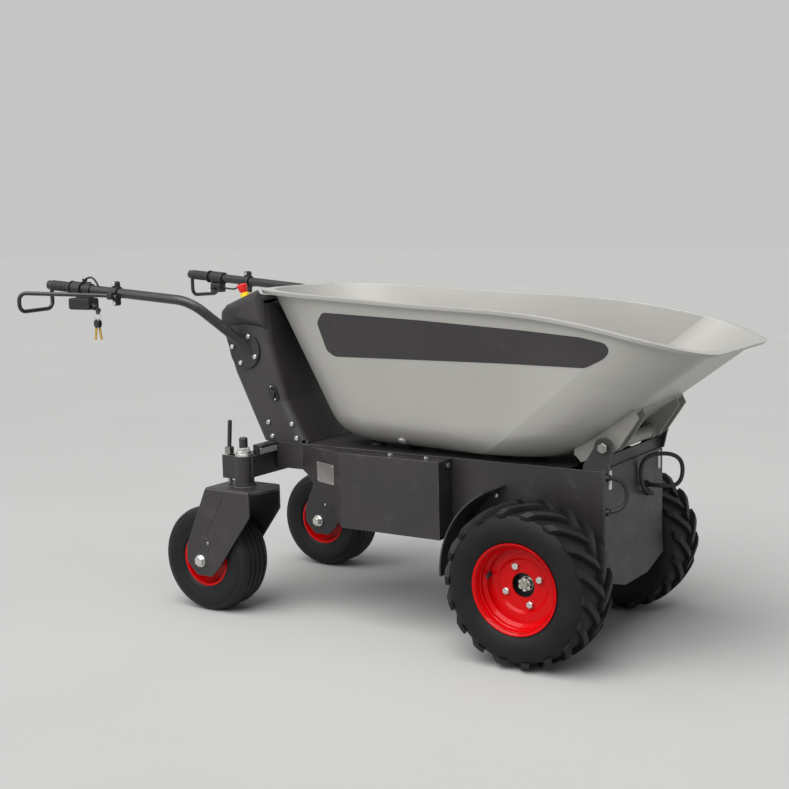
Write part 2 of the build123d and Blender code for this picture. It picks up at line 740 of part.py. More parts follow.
def rear_beam():
    half = beam_size / 2
    low, high = beam_height - half, beam_height + half
    x = (castor_pivot_x - half, castor_pivot_x + half)
    beam = block(x, (-castor_y, castor_y), (low, high))
    beam += block((x[1], chassis_rear), (-chassis_half + 20, chassis_half - 20), (low + 10, high - 4))
    reach = castor_y - pivot_tube_radius
    hollow = block((x[0] + sheet, x[1] - sheet), (-reach, reach), (low + sheet, high - sheet))
    for side in (1, -1):
        at = side * castor_y
        beam += bar((castor_pivot_x, at, pivot_tube_bottom), (castor_pivot_x, at, pivot_tube_top),
                    pivot_tube_radius)
        beam += block((lock_x - 16, castor_pivot_x), (at - 14, at + 14),
                      (pivot_tube_bottom + 10, lock_guide_top))
        for wall in (at - 14, at + 10):
            beam += block((lock_x - 16, castor_pivot_x), (wall, wall + 4), (lock_guide_top, lock_wall_top))
        strap_in, strap_out = sorted((side * chassis_half, side * (castor_y - 26)))
        strap_x = (castor_pivot_x + 13, castor_pivot_x + 43)
        beam += block(strap_x, (strap_in, strap_out), (chassis_top - 8, chassis_top))
        leg = sorted((side * (castor_y - 34), side * (castor_y - 26)))
        beam += block((strap_x[0], x[1]), leg, (high, chassis_top))
    for side in (1, -1):
        at = side * castor_y
        beam -= bar((castor_pivot_x, at, 0), (castor_pivot_x, at, chassis_top), bush_radius)
        beam -= bar((lock_x, at, 0), (lock_x, at, chassis_top), lock_pin_radius + running)
    return beam - hollow


def castor_bushes():
    inner = kingpin_radius + running
    length = 24
    bushes = []
    for side in (1, -1):
        for low in (pivot_tube_bottom, pivot_tube_top - length):
            bushes.append(upright([(inner, low), (bush_radius, low), (bush_radius, low + length),
                                   (inner, low + length)], castor_pivot_x, side * castor_y))
    return bushes


nodes["rear_beam"] = [rear_beam()]
nodes["castor_bushes"] = castor_bushes()


# Castors, drawn about the plane y = 0 and then moved out
def castor_fork():
    # cheeks and top bent from one plate, with a bowed brow in front
    inner = castor_width / 2 + fork_gap
    outer = inner + fork_plate
    low = fork_top - crown_plate
    axle = (castor_axle_x, castor_radius)
    front, rear = castor_pivot_x + 68, castor_pivot_x - 86
    cheek = [(rear, fork_top), (front, fork_top), (front, low - 62), (axle[0] + 66, axle[1] - 14),
             (axle[0] + 38, axle[1] - 42), (axle[0] - 16, axle[1] - 42),
             (axle[0] - 50, axle[1] - 6), (axle[0] - 50, axle[1] + 38)]
    fork = prism(cheek, -outer, outer)
    fork = fillet(along_y(fork).filter_by(lambda edge: edge.center().Z < low - 1), 14)
    bends = fork.edges().filter_by(Axis.X).filter_by(lambda edge: edge.center().Z > low)
    fork = fillet(bends, fork_bend)
    fork -= block((axle[0] - 2 * castor_radius, front + 1), (-inner, inner), (0, low))
    brow_half = outer - fork_bend
    bow = (brow_half ** 2 + fork_brow ** 2) / (2 * fork_brow)
    brow = bar((front + fork_brow - bow, 0, low), (front + fork_brow - bow, 0, fork_top), bow)
    fork += brow & block((front - 1, front + fork_brow), (-brow_half, brow_half), (low, fork_top))
    fork -= bar((axle[0], -outer - 1, axle[1]), (axle[0], outer + 1, axle[1]), castor_axle_radius + snug)
    for x in (lock_x, castor_pivot_x + lock_pin_offset):
        fork -= bar((x, 0, low - 1), (x, 0, fork_top + 1), lock_pin_radius + 1)
    for y in (-outer - 2.5, outer + 2.5):
        ends = [(axle[0] + x, y, axle[1] + z) for x, z in cheek_groove]
        fork -= bar(*ends, 4)
    shoulder, stud_top = pivot_tube_top + play, pivot_tube_top + nut_stack + stud_length
    pin = upright([(0, fork_top), (pivot_tube_radius + 2, fork_top),
                   (pivot_tube_radius + 2, pivot_tube_bottom - play),
                   (kingpin_radius, pivot_tube_bottom - play), (kingpin_radius, shoulder),
                   (stud_radius, shoulder), (stud_radius, stud_top - 3), (stud_radius - 3, stud_top),
                   (0, stud_top)], castor_pivot_x, 0)
    return fork + pin


def castor_fasteners():
    # washer and flange nut on the kingpin, and the wheel's axle bolt
    base = pivot_tube_top + play
    seat, flange_top, washer_radius = base + 6, base + 13, pivot_tube_radius - 2
    washer = upright([(stud_radius, base), (washer_radius, base), (washer_radius, seat),
                      (stud_radius, seat)], castor_pivot_x, 0)
    flange = upright([(stud_radius, seat), (washer_radius - 3, seat), (washer_radius - 4, flange_top),
                      (stud_radius, flange_top)], castor_pivot_x, 0)
    hexagon = extrude(RegularPolygon(stud_radius + 6.5, 6), amount=pivot_tube_top + nut_stack - flange_top)
    hexagon = chamfer(hexagon.faces().sort_by(Axis.Z)[-1].edges(), 1.5)
    nut = Pos(castor_pivot_x, 0, flange_top) * hexagon
    nut -= bar((castor_pivot_x, 0, base), (castor_pivot_x, 0, base + 2 * nut_stack), stud_radius)
    outer = castor_width / 2 + fork_gap + fork_plate
    under_head = outer + axle_washer
    rings = [turned([(castor_axle_radius, y), (axle_washer_radius, y), (axle_washer_radius, y + axle_washer),
                     (castor_axle_radius, y + axle_washer)], castor_axle_x, castor_radius)
             for y in (outer, -under_head)]
    axle = hex_bolt((castor_axle_x, under_head, castor_radius), (0, 1, 0), 15, 9, castor_axle_radius,
                    2 * under_head + 14)
    end = Plane(origin=(castor_axle_x, -under_head, castor_radius), z_dir=(0, -1, 0))
    lock_nut = end * extrude(RegularPolygon(15, 6), amount=10)
    lock_nut -= bar((castor_axle_x, -under_head - 30, castor_radius), (castor_axle_x, 0, castor_radius),
                    castor_axle_radius)
    return [washer, flange + nut, axle, lock_nut] + rings


def castor_tyre():
    half = castor_width / 2
    seat, crown = castor_bead_radius, castor_radius
    groove, bottom = 3.0, 5.0
    profile = [(seat, -half + 10), (seat + 6, -half + 5), (seat + 30, -half), (crown - 26, -half),
               (crown - 9, -half + 6),
               (crown - 3, -half + 15)]
    for y in (-half / 2, -half / 6, half / 6, half / 2):
        profile += [(crown, y - groove), (crown - bottom, y - groove / 2),
                    (crown - bottom, y + groove / 2), (crown, y + groove)]
    profile += [(crown - 3, half - 15), (crown - 9, half - 6), (crown - 26, half), (seat + 30, half),
                (seat + 6, half - 5), (seat, half - 10)]
    return turned(profile, castor_axle_x, castor_radius)


def castor_rim():
    half = castor_width / 2 - 10
    hub_half = castor_width / 2 + fork_gap - play
    bore, hub_r, seat = castor_axle_radius + running, 24, castor_bead_radius
    rim_wheel = turned([(bore, -hub_half), (hub_r - 6, -hub_half), (hub_r, -half + 8), (hub_r + 8, -10),
                        (seat - 12, -10), (seat - 6, -half), (seat, -half), (seat, half), (seat - 6, half),
                        (seat - 12, 10), (hub_r + 8, 10), (hub_r, half - 8), (hub_r - 6, hub_half),
                        (bore, hub_half)],
                       castor_axle_x, castor_radius)
    return rim_wheel


def lock_pin():
    low, high = fork_top + lock_raised, lock_pivot - 12
    pin = bar((lock_x, 0, low), (lock_x, 0, high), lock_pin_radius)
    head = block((lock_x - 9, lock_x + 9), (-9, 9), (high, lock_pivot + 8))
    head -= block((lock_x - 20, lock_x + 20), (-lever_plate / 2 - play, lever_plate / 2 + play),
                  (high + 3, lock_pivot + 20))
    pivot = bar((lock_x, -9, lock_pivot), (lock_x, 9, lock_pivot), lever_pin_radius)
    return pin + head + pivot


def lock_lever():
    half = lever_plate / 2
    foot = bar((lock_x, -half, lock_pivot), (lock_x, half, lock_pivot), 8)
    rod_end = (lock_x + 6, 0, lock_pivot + lever_length)
    foot += prism([(lock_x - 5, lock_pivot), (lock_x + 5, lock_pivot), (lock_x + 6, lock_pivot + 24),
                   (lock_x - 4, lock_pivot + 24)], -half, half)
    rod = bar((lock_x + 1, 0, lock_pivot + 17), rod_end, 6)
    lever = foot + fillet(rod.edges().group_by(Axis.Z)[-1], 2)
    bore = lever_pin_radius + running
    return lever - bar((lock_x, -half - 1, lock_pivot), (lock_x, half + 1, lock_pivot), bore)


for side in ("left", "right"):
    move = Pos(0, castor_y, 0)

    def on_side(shape):
        return move * shape if side == "left" else other_side(move * shape)

    nodes["castor_fork_" + side] = [on_side(castor_fork())]
    nodes["castor_fasteners_" + side] = [on_side(piece) for piece in castor_fasteners()]
    nodes["castor_tyre_" + side] = [on_side(castor_tyre())]
    nodes["castor_rim_" + side] = [on_side(castor_rim())]
    nodes["lock_pin_" + side] = [on_side(lock_pin())]
    nodes["lock_lever_" + side] = [on_side(lock_lever())]


# Cowl: a leaning hollow box with a wider head, hollowed towards the tub's tail
def side_slab(points, half, inset):
    outline = make_face(Polyline(*points, close=True))
    if inset:
        outline = offset(outline, amount=-inset)
    slab = extrude(Plane.XZ.offset(-half) * outline, amount=2 * half, dir=(0, -1, 0))
    low = slab.bounding_box().min.Z + 1
    on_side_face = slab.edges().filter_by(lambda edge: abs(abs(edge.center().Y) - half) < 0.1)
    return fillet(on_side_face.filter_by(lambda edge: edge.center().Z > low), cowl_round - inset)


def cowl_block(inset):
    body = side_slab(cowl_profile, cowl_half - inset, inset)
    head = side_slab(cowl_head, cowl_half + cowl_head_proud - inset, inset)
    return body + head


def tail_room(clear):
    # the tub with its lip, grown by a clearance
    above_lip = block((-2000, 0), (-tub_front_width, tub_front_width), (tub_brim - 10, tub_brim + 200))
    return tub_solid(clear) + (tub_solid(clear, lip=1) & above_lip)


def rear_cowl():
    shell = cowl_block(0) - tail_room(cowl_clear)
    hollow = cowl_block(cowl_wall)
    foot_front, foot_rear = cowl_profile[0][0], cowl_profile[-1][0]
    half = cowl_half - cowl_wall
    hollow += block((foot_rear + 2 * cowl_wall, foot_front - 2 * cowl_wall), (-half, half),
                    (chassis_top - 1, chassis_top + 2 * cowl_wall))
    shell -= hollow - tail_room(cowl_clear + cowl_wall)
    for x, z in cowl_bolt_places:
        shell -= bar((x, -cowl_half - 1, z), (x, cowl_half + 1, z), cover_bolt_radius + snug)
    for x, z in handle_plate_places:
        shell -= bar((x, -cowl_half - 1, z), (x, cowl_half + 1, z), cover_bolt_radius + snug)
    return shell


def cover_bolt(x, y, z, side, grip):
    return hex_bolt((x, side * y, z), (0, side, 0), 1.8 * cover_bolt_radius, 5, cover_bolt_radius, grip)


nodes["rear_cowl"] = [rear_cowl()]
nodes["cover_bolts"] = [cover_bolt(x, cowl_half, z, side, 2 * cowl_wall)
                        for x, z in cowl_bolt_places for side in (1, -1)]
for x, z in handle_plate_places:
    for side in (1, -1):
        bolt_grip = handle_plate + 2 * cowl_wall
        nodes["cover_bolts"].append(cover_bolt(x, cowl_half + handle_plate, z, side, bolt_grip))
for x, y, z, outward in box_bolt_places:
    for side in (1, -1):
        nodes["cover_bolts"].append(hex_bolt((x, side * y, z), outward, 1.8 * cover_bolt_radius, 5,
                                             cover_bolt_radius, 2 * sheet))


# Emergency stop, square to the cowl's sloping top
top_front, top_rear = cowl_profile[3], cowl_profile[4]
top_slope = (top_front[1] - top_rear[1]) / (top_front[0] - top_rear[0])
stop_plane = Plane(origin=(stop_x, stop_y, top_front[1] + (stop_x - top_front[0]) * top_slope),
                   x_dir=(0, -1, 0), z_dir=(-top_slope, 0, 1))


def stop_ring(outer, inner, low, high):
    ring = Cylinder(outer, high - low, align=(Align.CENTER, Align.CENTER, Align.MIN))
    if inner:
        ring -= Cylinder(inner, 3 * high)
    return Pos(0, 0, low) * ring


def emergency_stop_base():
    return stop_plane * (stop_ring(stop_base_radius, stop_stem_radius + running, 0, stop_base_height))


def emergency_stop_button():
    low = stop_base_height + stop_travel + 1
    stem = stop_ring(stop_stem_radius, 0, stop_travel + 1, low)
    from_base = (Align.CENTER, Align.CENTER, Align.MIN)
    head = Pos(0, 0, low) * Cone(stop_head_radius - 5, stop_head_radius, stop_head_height, align=from_base)
    head = fillet(head.edges().group_by(Axis.Z)[-1], 4)
    return stop_plane * (stem + head)


nodes["emergency_stop_base"] = [emergency_stop_base()]
nodes["emergency_stop_button"] = [emergency_stop_button()]


# Charging socket on the right side, with a hinged cap
lean = radians(socket_lean)
socket_plane = Plane(origin=(socket_x, -cowl_half, socket_z), x_dir=(-sin(lean), 0, cos(lean)),
                     z_dir=(0, -1, 0))


def charge_socket():
    flange = extrude(SlotOverall(48, 25), amount=socket_flange)
    flange = fillet(flange.faces().sort_by(Axis.Z)[-1].edges(), 1.5)
    collar = stop_ring(socket_radius, socket_radius - 2, socket_flange - 1, socket_flange + 5)
    return socket_plane * (flange + collar)


def charge_cap():
    low = socket_flange + 5 + play
    cap = stop_ring(socket_radius + 1.5, 0, low, low + 4)
    cap = fillet(cap.edges().group_by(Axis.Z)[-1], 1.2)
    strap = Pos(socket_radius + 2, 0, low + 1) * Box(6, 8, 2)
    knuckle = Pos(socket_radius + 5, 0, low + 1) * Rot(90, 0, 0) * Cylinder(1.8, 10)
    return socket_plane * (cap + strap + knuckle)


nodes["charge_socket"] = [charge_socket()]
nodes["charge_cap"] = [charge_cap()]


# Handlebars
bar_corner = Vector(*bar_bend)
plate_point = Vector(bar_foot[0], cowl_half + handle_plate, bar_foot[1])
bar_start = plate_point + (plate_point - bar_corner).normalized() * 4 * bar_radius
bar_end = Vector(grip_end, bar_end_y, bar_end_z)
grip_run = (bar_end - bar_corner).normalized()


def on_bar(x, drop=0.0):
    # point on the middle of the handlebar's straight rear run
    point = bar_corner + grip_run * ((x - bar_corner.X) / grip_run.X)
    return point - Vector(0, 0, drop)


def bar_core():
    return bar(on_bar(grip_end), on_bar(clamp_x), bar_radius)


def bar_sleeve(x_rear, x_front, radius, inner):
    sleeve = bar(on_bar(x_rear), on_bar(x_front), radius)
    if inner:
        sleeve -= bar(on_bar(x_rear - 5), on_bar(x_front + 5), inner)
    return sleeve


def handlebar():
    # the tube comes in at a slant and is trimmed flush with the back of its flange plate
    tube = wire_tube([bar_start, bar_corner, bar_end], bar_bend_radius, bar_radius)
    tube -= wire_tube([plate_point, bar_corner, bar_end], bar_bend_radius, bar_radius - bar_wall)
    tube -= block((bar_corner.X, 0), (-cowl_half, cowl_half), (0, bar_corner.Z))
    xs = [x for x, z in handle_plate_places]
    zs = [z for x, z in handle_plate_places]
    middle = (sum(xs) / 4, sum(zs) / 4)
    corner_reach = hypot(xs[0] - middle[0], zs[0] - middle[1]) + 2 * cover_bolt_radius
    nose = Pos(middle[0] - 34, middle[1] + 32) * Circle(corner_reach * 0.5)
    outline = make_hull((Pos(*middle) * Circle(corner_reach)).edges() + nose.edges())
    outer_face = Plane.XZ.offset(-cowl_half - handle_plate)
    body = extrude(outer_face * outline, amount=handle_plate, dir=(0, -1, 0)) + tube
    for x, z in handle_plate_places:
        body -= bar((x, cowl_half - 1, z), (x, cowl_half + handle_plate + 1, z), cover_bolt_radius + snug)
    return body


def hand_guard():
    start = on_bar(clamp_x + 22, rod_drop) + Vector(0, rod_out, 0)
    bend = on_bar(clamp_x - 22, rod_drop) + Vector(0, rod_out, 0)
    corner = Vector(*guard_corner)
    low_outer = Vector(corner.X, corner.Y, guard_low)
    foot = on_bar(corner.X)
    low_inner = Vector(corner.X, foot.Y, guard_low + 3)
    rod = wire_tube([start, bend, corner, low_outer, low_inner, foot], [60, 22, 22, 22], rod_radius)
    return rod - bar_core()


def handle_clamp():
    # collar round the tube with an ear above and below, and a lug that holds the guard's rod
    middle = on_bar(clamp_x)
    x = (clamp_x - clamp_half, clamp_x + clamp_half)
    ears = block(x, (middle.Y - clamp_ear, middle.Y + clamp_ear),
                 (middle.Z - clamp_down, middle.Z + clamp_up))
    ears = fillet(along_y(ears), 7)
    rod_z = middle.Z - rod_drop
    lug = block(x, (middle.Y, middle.Y + rod_out + 10), (rod_z - 10, rod_z + 10))
    lug = fillet(lug.edges().filter_by(Axis.X), 5)
    body = bar(on_bar(x[0] - 2), on_bar(x[1] + 2), bar_radius + 5) + ears + lug
    for z in clamp_bolt_heights():
        hole = [(clamp_x, middle.Y + end * 2 * clamp_ear, z) for end in (-1, 1)]
        body -= bar(*hole, cover_bolt_radius + snug)
    body -= bar(on_bar(clamp_x - 60), on_bar(clamp_x + 60), bar_radius)
    return body - hand_guard()


def clamp_bolt_heights():
    middle = on_bar(clamp_x)
    return middle.Z + clamp_up - 8, middle.Z - clamp_down + 8


def clamp_bolts(side):
    y = on_bar(clamp_x).Y + clamp_ear
    return [hex_bolt((clamp_x, side * y, z), (0, side, 0), 1.8 * cover_bolt_radius, 5, cover_bolt_radius, 20)
            for z in clamp_bolt_heights()]


def grip():
    rear = guard_corner[0] + rod_radius + 2
    front = rear + grip_length
    sleeve = bar_sleeve(rear, front, grip_radius, bar_radius)
    flange = bar_sleeve(front - 4, front, grip_radius + 5, bar_radius)
    body = sleeve + flange
    for i in range(5):
        at = rear + 8 + i * 12
        body -= bar_sleeve(at, at + 3, grip_radius + 1, grip_radius - 1.2)
    return body


nodes["handlebar_left"] = [handlebar()]
nodes["handlebar_right"] = [other_side(handlebar())]
nodes["hand_guards"] = [hand_guard(), other_side(hand_guard())]
nodes["handle_clamps"] = [handle_clamp(), other_side(handle_clamp())]
nodes["cover_bolts"] += clamp_bolts(1) + clamp_bolts(-1)
nodes["grips"] = [grip(), other_side(grip())]


# Controls on the handlebars, drawn on the left side; those of the right bar are mirrored
def throttle_body():
    body = bar_sleeve(throttle_x - 17, throttle_x + 17, control_radius, bar_radius)
    middle = on_bar(throttle_x)
    case = block((throttle_x - 17, throttle_x + 17), (middle.Y - 38, middle.Y - bar_radius - 2),
                 (middle.Z - 16, middle.Z + button_seat))
    case = fillet(case.edges().filter_by(Axis.X), 5)
    pivot = bar((throttle_x, middle.Y - 36, middle.Z), (throttle_x, middle.Y - 48, middle.Z),
                paddle_pin_radius)
    body += case + pivot
    return body - bar((throttle_x, middle.Y - 27, middle.Z + 4), (throttle_x, middle.Y - 27, middle.Z + 40),
                      button_radius + running)


def throttle_paddle():
    middle = on_bar(throttle_x)
    inner, outer = middle.Y - 46, middle.Y - 38 - play
    x, z = throttle_x, middle.Z
    paddle = bar((x, inner, z), (x, outer, z), 10)
    paddle += prism([(x - 9, z + 4), (x - 34, z - 24), (x - 28, z - 34), (x + 2, z - 9)], inner, outer)
    thumb_pad = block((x - 40, x - 28), (inner - 2, outer + 14), (z - 40, z - 24))
    paddle += fillet(thumb_pad.edges().filter_by(Axis.Y), 4)
    return paddle - bar((x, inner - 9, z), (x, outer + 9, z), paddle_pin_radius + running)


def push_button():
    middle = on_bar(throttle_x)
    y, z = middle.Y - 27, middle.Z + button_seat
    stem = bar((throttle_x, y, z - 9), (throttle_x, y, z + button_travel + 1), button_radius)
    cap = bar((throttle_x, y, z + button_travel + 1), (throttle_x, y, z + button_travel + 7),
              button_radius + 2)
    return stem + fillet(cap.edges().group_by(Axis.Z)[-1], 2)


def key_switch():
    middle = on_bar(key_x)
    body = bar_sleeve(key_x - 12, key_x + 12, control_radius - 2, bar_radius)
    case = block((key_x - 68, key_x + 16), (middle.Y - 20, middle.Y + 20),
                 (middle.Z - key_low, middle.Z - 25))
    case = fillet(case.edges().filter_by(Axis.X) + case.edges().filter_by(Axis.Y), 6)
    neck = block((key_x - 10, key_x + 10), (middle.Y - 8, middle.Y + 8),
                 (middle.Z - 30, middle.Z - bar_radius - 2))
    case += key_plane * Cylinder(9, 30)
    body += case + neck
    return body - key_plane * Pos(0, 0, 5) * Cylinder(key_radius + running, 22)


def ignition_key():
    stem = stop_ring(key_radius, 0, -4, 24)
    bow = Pos(0, 0, 28) * extrude(Plane.XZ.offset(-1.5) * SlotOverall(22, 14), amount=3, dir=(0, -1, 0))
    bow -= Pos(key_hole, 0, 28) * Rot(90, 0, 0) * Cylinder(3, 8)
    return key_plane * (stem + bow)


def key_bunch():
    # a split ring through the key's bow, with two spare keys on it
    hole = key_plane.from_local_coords(Vector(key_hole, 0, 28))
    low = hole - Vector(0, 0, 2 * split_ring)
    ring_wire = Pos(*(hole - Vector(0, 0, split_ring))) * Rot(0, 90, 0) * Torus(split_ring, 0.9)
    pieces = [ring_wire]
    for side in (1, -1):
        spare = SlotOverall(26, 20) - Pos(8, 0) * Circle(3.2)
        bow = extrude(spare, amount=4)
        blade = Pos(-31, 0, 2) * Box(38, 8, 2.2)
        key = Pos(-8, 0, 1.2 if side > 0 else -5.2) * (bow + blade)
        frame = Plane(origin=low, x_dir=(0.16 * side, 0, 1), z_dir=(0, 1, 0))
        pieces.append(frame * key)
    return pieces


def direction_switch():
    body = bar_sleeve(switch_x - 25, switch_x + 25, control_radius, bar_radius)
    middle = on_bar(switch_x)
    case = block((switch_x - 25, switch_x + 15), (middle.Y - 15, middle.Y + 15),
                 (middle.Z - 48, middle.Z - bar_radius - 3))
    case = fillet(case.edges().filter_by(Axis.X), 5)
    socket_start = (switch_x - 5, middle.Y - 16, middle.Z - 34)
    case -= bar(socket_start, (switch_x - 5, middle.Y - 5, middle.Z - 34), toggle_ball + play)
    return body + case


def direction_toggle():
    middle = on_bar(switch_x)
    ball_at = (switch_x - 5, middle.Y - 11, middle.Z - 34)
    tip = (switch_x - 5, middle.Y - 34, middle.Z - 34)
    stick = bar(ball_at, tip, 2.6)
    return Pos(*ball_at) * Sphere(toggle_ball) + stick + Pos(*tip) * Sphere(4.2)


def throttle_wire():
    start = on_bar(throttle_x + 17, -18)
    end = on_bar(throttle_x + 78, -bar_radius)
    top = on_bar(throttle_x + 40, -36)
    path = [start, Vector(throttle_x + 34, start.Y, start.Z + 15),
            Vector(throttle_x + 66, top.Y, top.Z), end]
    return wire_tube(path, [14, 14], wire_radius) - bar_core() - throttle_body()


def switch_wire():
    start = on_bar(switch_x + 15, 32)
    end = on_bar(switch_x + 92, bar_radius)
    path = [start, Vector(switch_x + 46, start.Y, start.Z - 4),
            Vector(switch_x + 80, end.Y, end.Z - 16), end]
    return wire_tube(path, [30, 12], wire_radius) - bar_core() - direction_switch()


key_place = on_bar(key_x)
key_plane = Plane(origin=(key_x + 12, key_place.Y, key_place.Z - key_low + 14), x_dir=(-0.643, 0, -0.766),
                  z_dir=(0.766, 0, -0.643))
nodes["throttle_body"] = [other_side(throttle_body())]
nodes["throttle_paddle"] = [other_side(throttle_paddle())]
nodes["push_button"] = [other_side(push_button())]
nodes["key_switch"] = [other_side(key_switch())]
nodes["ignition_key"] = [other_side(ignition_key())]
nodes["key_bunch"] = [other_side(piece) for piece in key_bunch()]
nodes["direction_switch"] = [direction_switch()]
nodes["direction_toggle"] = [direction_toggle()]
nodes["cables"] += [other_side(throttle_wire()), switch_wire()]


# Write each node, moved so that the whole machine is centred along X
boxes = [piece.bounding_box() for pieces in nodes.values() for piece in pieces]
middle_x = (min(box.min.X for box in boxes) + max(box.max.X for box in boxes)) / 2
os.makedirs("parts", exist_ok=True)
for name, pieces in nodes.items():
    solids = [solid.moved(Pos(-middle_x, 0, 0)) for piece in pieces for solid in piece.solids()]
    export_step(solids[0] if len(solids) == 1 else Compound(solids), "parts/" + name + ".step")
print("nodes", len(nodes), "shift", round(-middle_x, 3))
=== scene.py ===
import json
import math

import bpy
from mathutils import Matrix, Vector


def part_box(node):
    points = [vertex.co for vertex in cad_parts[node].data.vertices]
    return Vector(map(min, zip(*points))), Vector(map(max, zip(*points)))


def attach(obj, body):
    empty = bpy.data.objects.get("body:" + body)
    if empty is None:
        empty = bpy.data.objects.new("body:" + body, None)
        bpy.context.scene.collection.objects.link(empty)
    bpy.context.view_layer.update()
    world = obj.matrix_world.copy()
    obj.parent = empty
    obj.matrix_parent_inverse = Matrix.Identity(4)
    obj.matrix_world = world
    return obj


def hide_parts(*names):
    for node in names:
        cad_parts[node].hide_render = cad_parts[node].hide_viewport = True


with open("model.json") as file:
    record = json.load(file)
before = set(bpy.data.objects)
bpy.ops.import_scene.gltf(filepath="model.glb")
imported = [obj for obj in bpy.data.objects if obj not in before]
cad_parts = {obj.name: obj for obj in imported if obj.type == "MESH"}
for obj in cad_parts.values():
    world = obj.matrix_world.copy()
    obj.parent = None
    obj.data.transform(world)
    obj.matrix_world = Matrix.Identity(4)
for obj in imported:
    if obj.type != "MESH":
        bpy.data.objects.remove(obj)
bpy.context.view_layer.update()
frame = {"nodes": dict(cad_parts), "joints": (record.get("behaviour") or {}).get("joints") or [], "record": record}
nodes = frame["nodes"]
joints = {joint["name"]: joint for joint in frame["joints"]}
axleX = joints["left_wheel_spin"]["pos_m"][0]


def spot(x, y, z):  # millimetres from the point on the ground under the front axle's middle
    return Vector((axleX + x / 1000, y / 1000, z / 1000))


def tone(red, green, blue):  # a screen colour made linear
    shares = [value / 255 for value in (red, green, blue)]
    return tuple(s / 12.92 if s <= 0.04045 else ((s + 0.055) / 1.055) ** 2.4 for s in shares) + (1.0,)


# camera, where the photograph was taken from
cameraSpec = {"place": (1500.2, -3126.0, 1115.3), "yaw": 33.484, "pitch": -7.749, "roll": -1.367,
              "lens": 61.08, "sensor": 36.0}


def placeCamera(spec):
    yaw, pitch, roll = (math.radians(spec[key]) for key in ("yaw", "pitch", "roll"))
    level = math.cos(pitch)
    ahead = Vector((-math.sin(yaw) * level, math.cos(yaw) * level, math.sin(pitch)))
    right = Vector((math.cos(yaw), math.sin(yaw), 0))
    up = right.cross(ahead)
    sideways = right * math.cos(roll) + up * math.sin(roll)
    upwards = up * math.cos(roll) - right * math.sin(roll)
    lensData = bpy.data.cameras.new("camera")
    lensData.lens = spec["lens"]
    lensData.sensor_width = spec["sensor"]
    camera = bpy.data.objects.new("camera", lensData)
    bpy.context.scene.collection.objects.link(camera)
    turn = Matrix((sideways, upwards, -ahead)).transposed().to_4x4()
    camera.matrix_world = Matrix.Translation(spot(*spec["place"])) @ turn
    bpy.context.scene.camera = camera


placeCamera(cameraSpec)
bpy.context.scene.view_settings.view_transform = "Standard"


# shader maths
class Wire:  # one output socket, with arithmetic on it
    def __init__(self, finish, socket):
        self.finish = finish
        self.socket = socket

    def maths(self, operation, first, second=0.0):
        return self.finish.add("ShaderNodeMath", {"operation": operation}, {0: first, 1: second})

    def __add__(self, other):
        return self.maths("ADD", self, other)

    def __radd__(self, other):
        return self.maths("ADD", other, self)

    def __sub__(self, other):
        return self.maths("SUBTRACT", self, other)

    def __rsub__(self, other):
        return self.maths("SUBTRACT", other, self)

    def __mul__(self, other):
        return self.maths("MULTIPLY", self, other)

    def __rmul__(self, other):
        return self.maths("MULTIPLY", other, self)

    def __pow__(self, other):
        return self.maths("POWER", self, other)

    def __gt__(self, other):
        return self.maths("GREATER_THAN", self, other)

    def __lt__(self, other):
        return self.maths("LESS_THAN", self, other)

    def sine(self):
        return self.maths("SINE", self)


class Finish:  # one material and the nodes in it
    def __init__(self, name):
        self.material = bpy.data.materials.new(name)
        self.material.use_nodes = True
        self.tree = self.material.node_tree
        self.skin = self.tree.nodes["Principled BSDF"]
        self.place = self.add("ShaderNodeTexCoord", {}, {}, "Object")

    def add(self, kind, settings, sockets, out=0):
        node = self.tree.nodes.new(kind)
        for key, value in settings.items():
            setattr(node, key, value)
        for key, value in sockets.items():
            self.feed(node.inputs[key], value)
        return Wire(self, node.outputs[out])

    def feed(self, socket, value):
        if isinstance(value, Wire):
            self.tree.links.new(value.socket, socket)
        else:
            socket.default_value = value

    def set(self, **sockets):
        for key, value in sockets.items():
            self.feed(self.skin.inputs[key.replace("_", " ")], value)
        return self.material

    def noise(self, scale, detail=4.0, rough=0.5, stretch=None):
        place = self.place
        if stretch:
            place = self.add("ShaderNodeMapping", {}, {"Vector": place, "Scale": stretch})
        return self.add("ShaderNodeTexNoise", {}, {"Vector": place, "Scale": scale, "Detail": detail,
                                                   "Roughness": rough})

    def axis(self, letter):
        return self.add("ShaderNodeSeparateXYZ", {}, {"Vector": self.place}, letter)

    def remap(self, value, low, high, first=0.0, last=1.0):
        return self.add("ShaderNodeMapRange", {}, {"Value": value, "From Min": low, "From Max": high,
                                                   "To Min": first, "To Max": last})

    def blend(self, share, first, second):
        return self.add("ShaderNodeMix", {"data_type": "RGBA"}, {0: share, 6: first, 7: second}, 2)

    def around(self, x, z):  # distance from an axle that runs along Y
        across = self.axis("X") - x
        rise = self.axis("Z") - z
        return (across * across + rise * rise) ** 0.5

    def bump(self, height, strength, depth, rounded=None):
        sockets = {"Height": height, "Strength": strength, "Distance": depth}
        if rounded:
            sockets["Normal"] = rounded
        return self.add("ShaderNodeBump", {}, sockets)

    def roundEdges(self, radius):
        return self.add("ShaderNodeBevel", {"samples": 4}, {"Radius": radius})

    def edgeWearAndHighlight(self, rounded, low, high):  # share of edge wear and of a painted edge highlight, high along the edges
        facing = self.add("ShaderNodeNewGeometry", {}, {}, "Normal")
        dot = self.add("ShaderNodeVectorMath", {"operation": "DOT_PRODUCT"}, {0: rounded, 1: facing}, "Value")
        return self.remap(1 - dot, low, high)


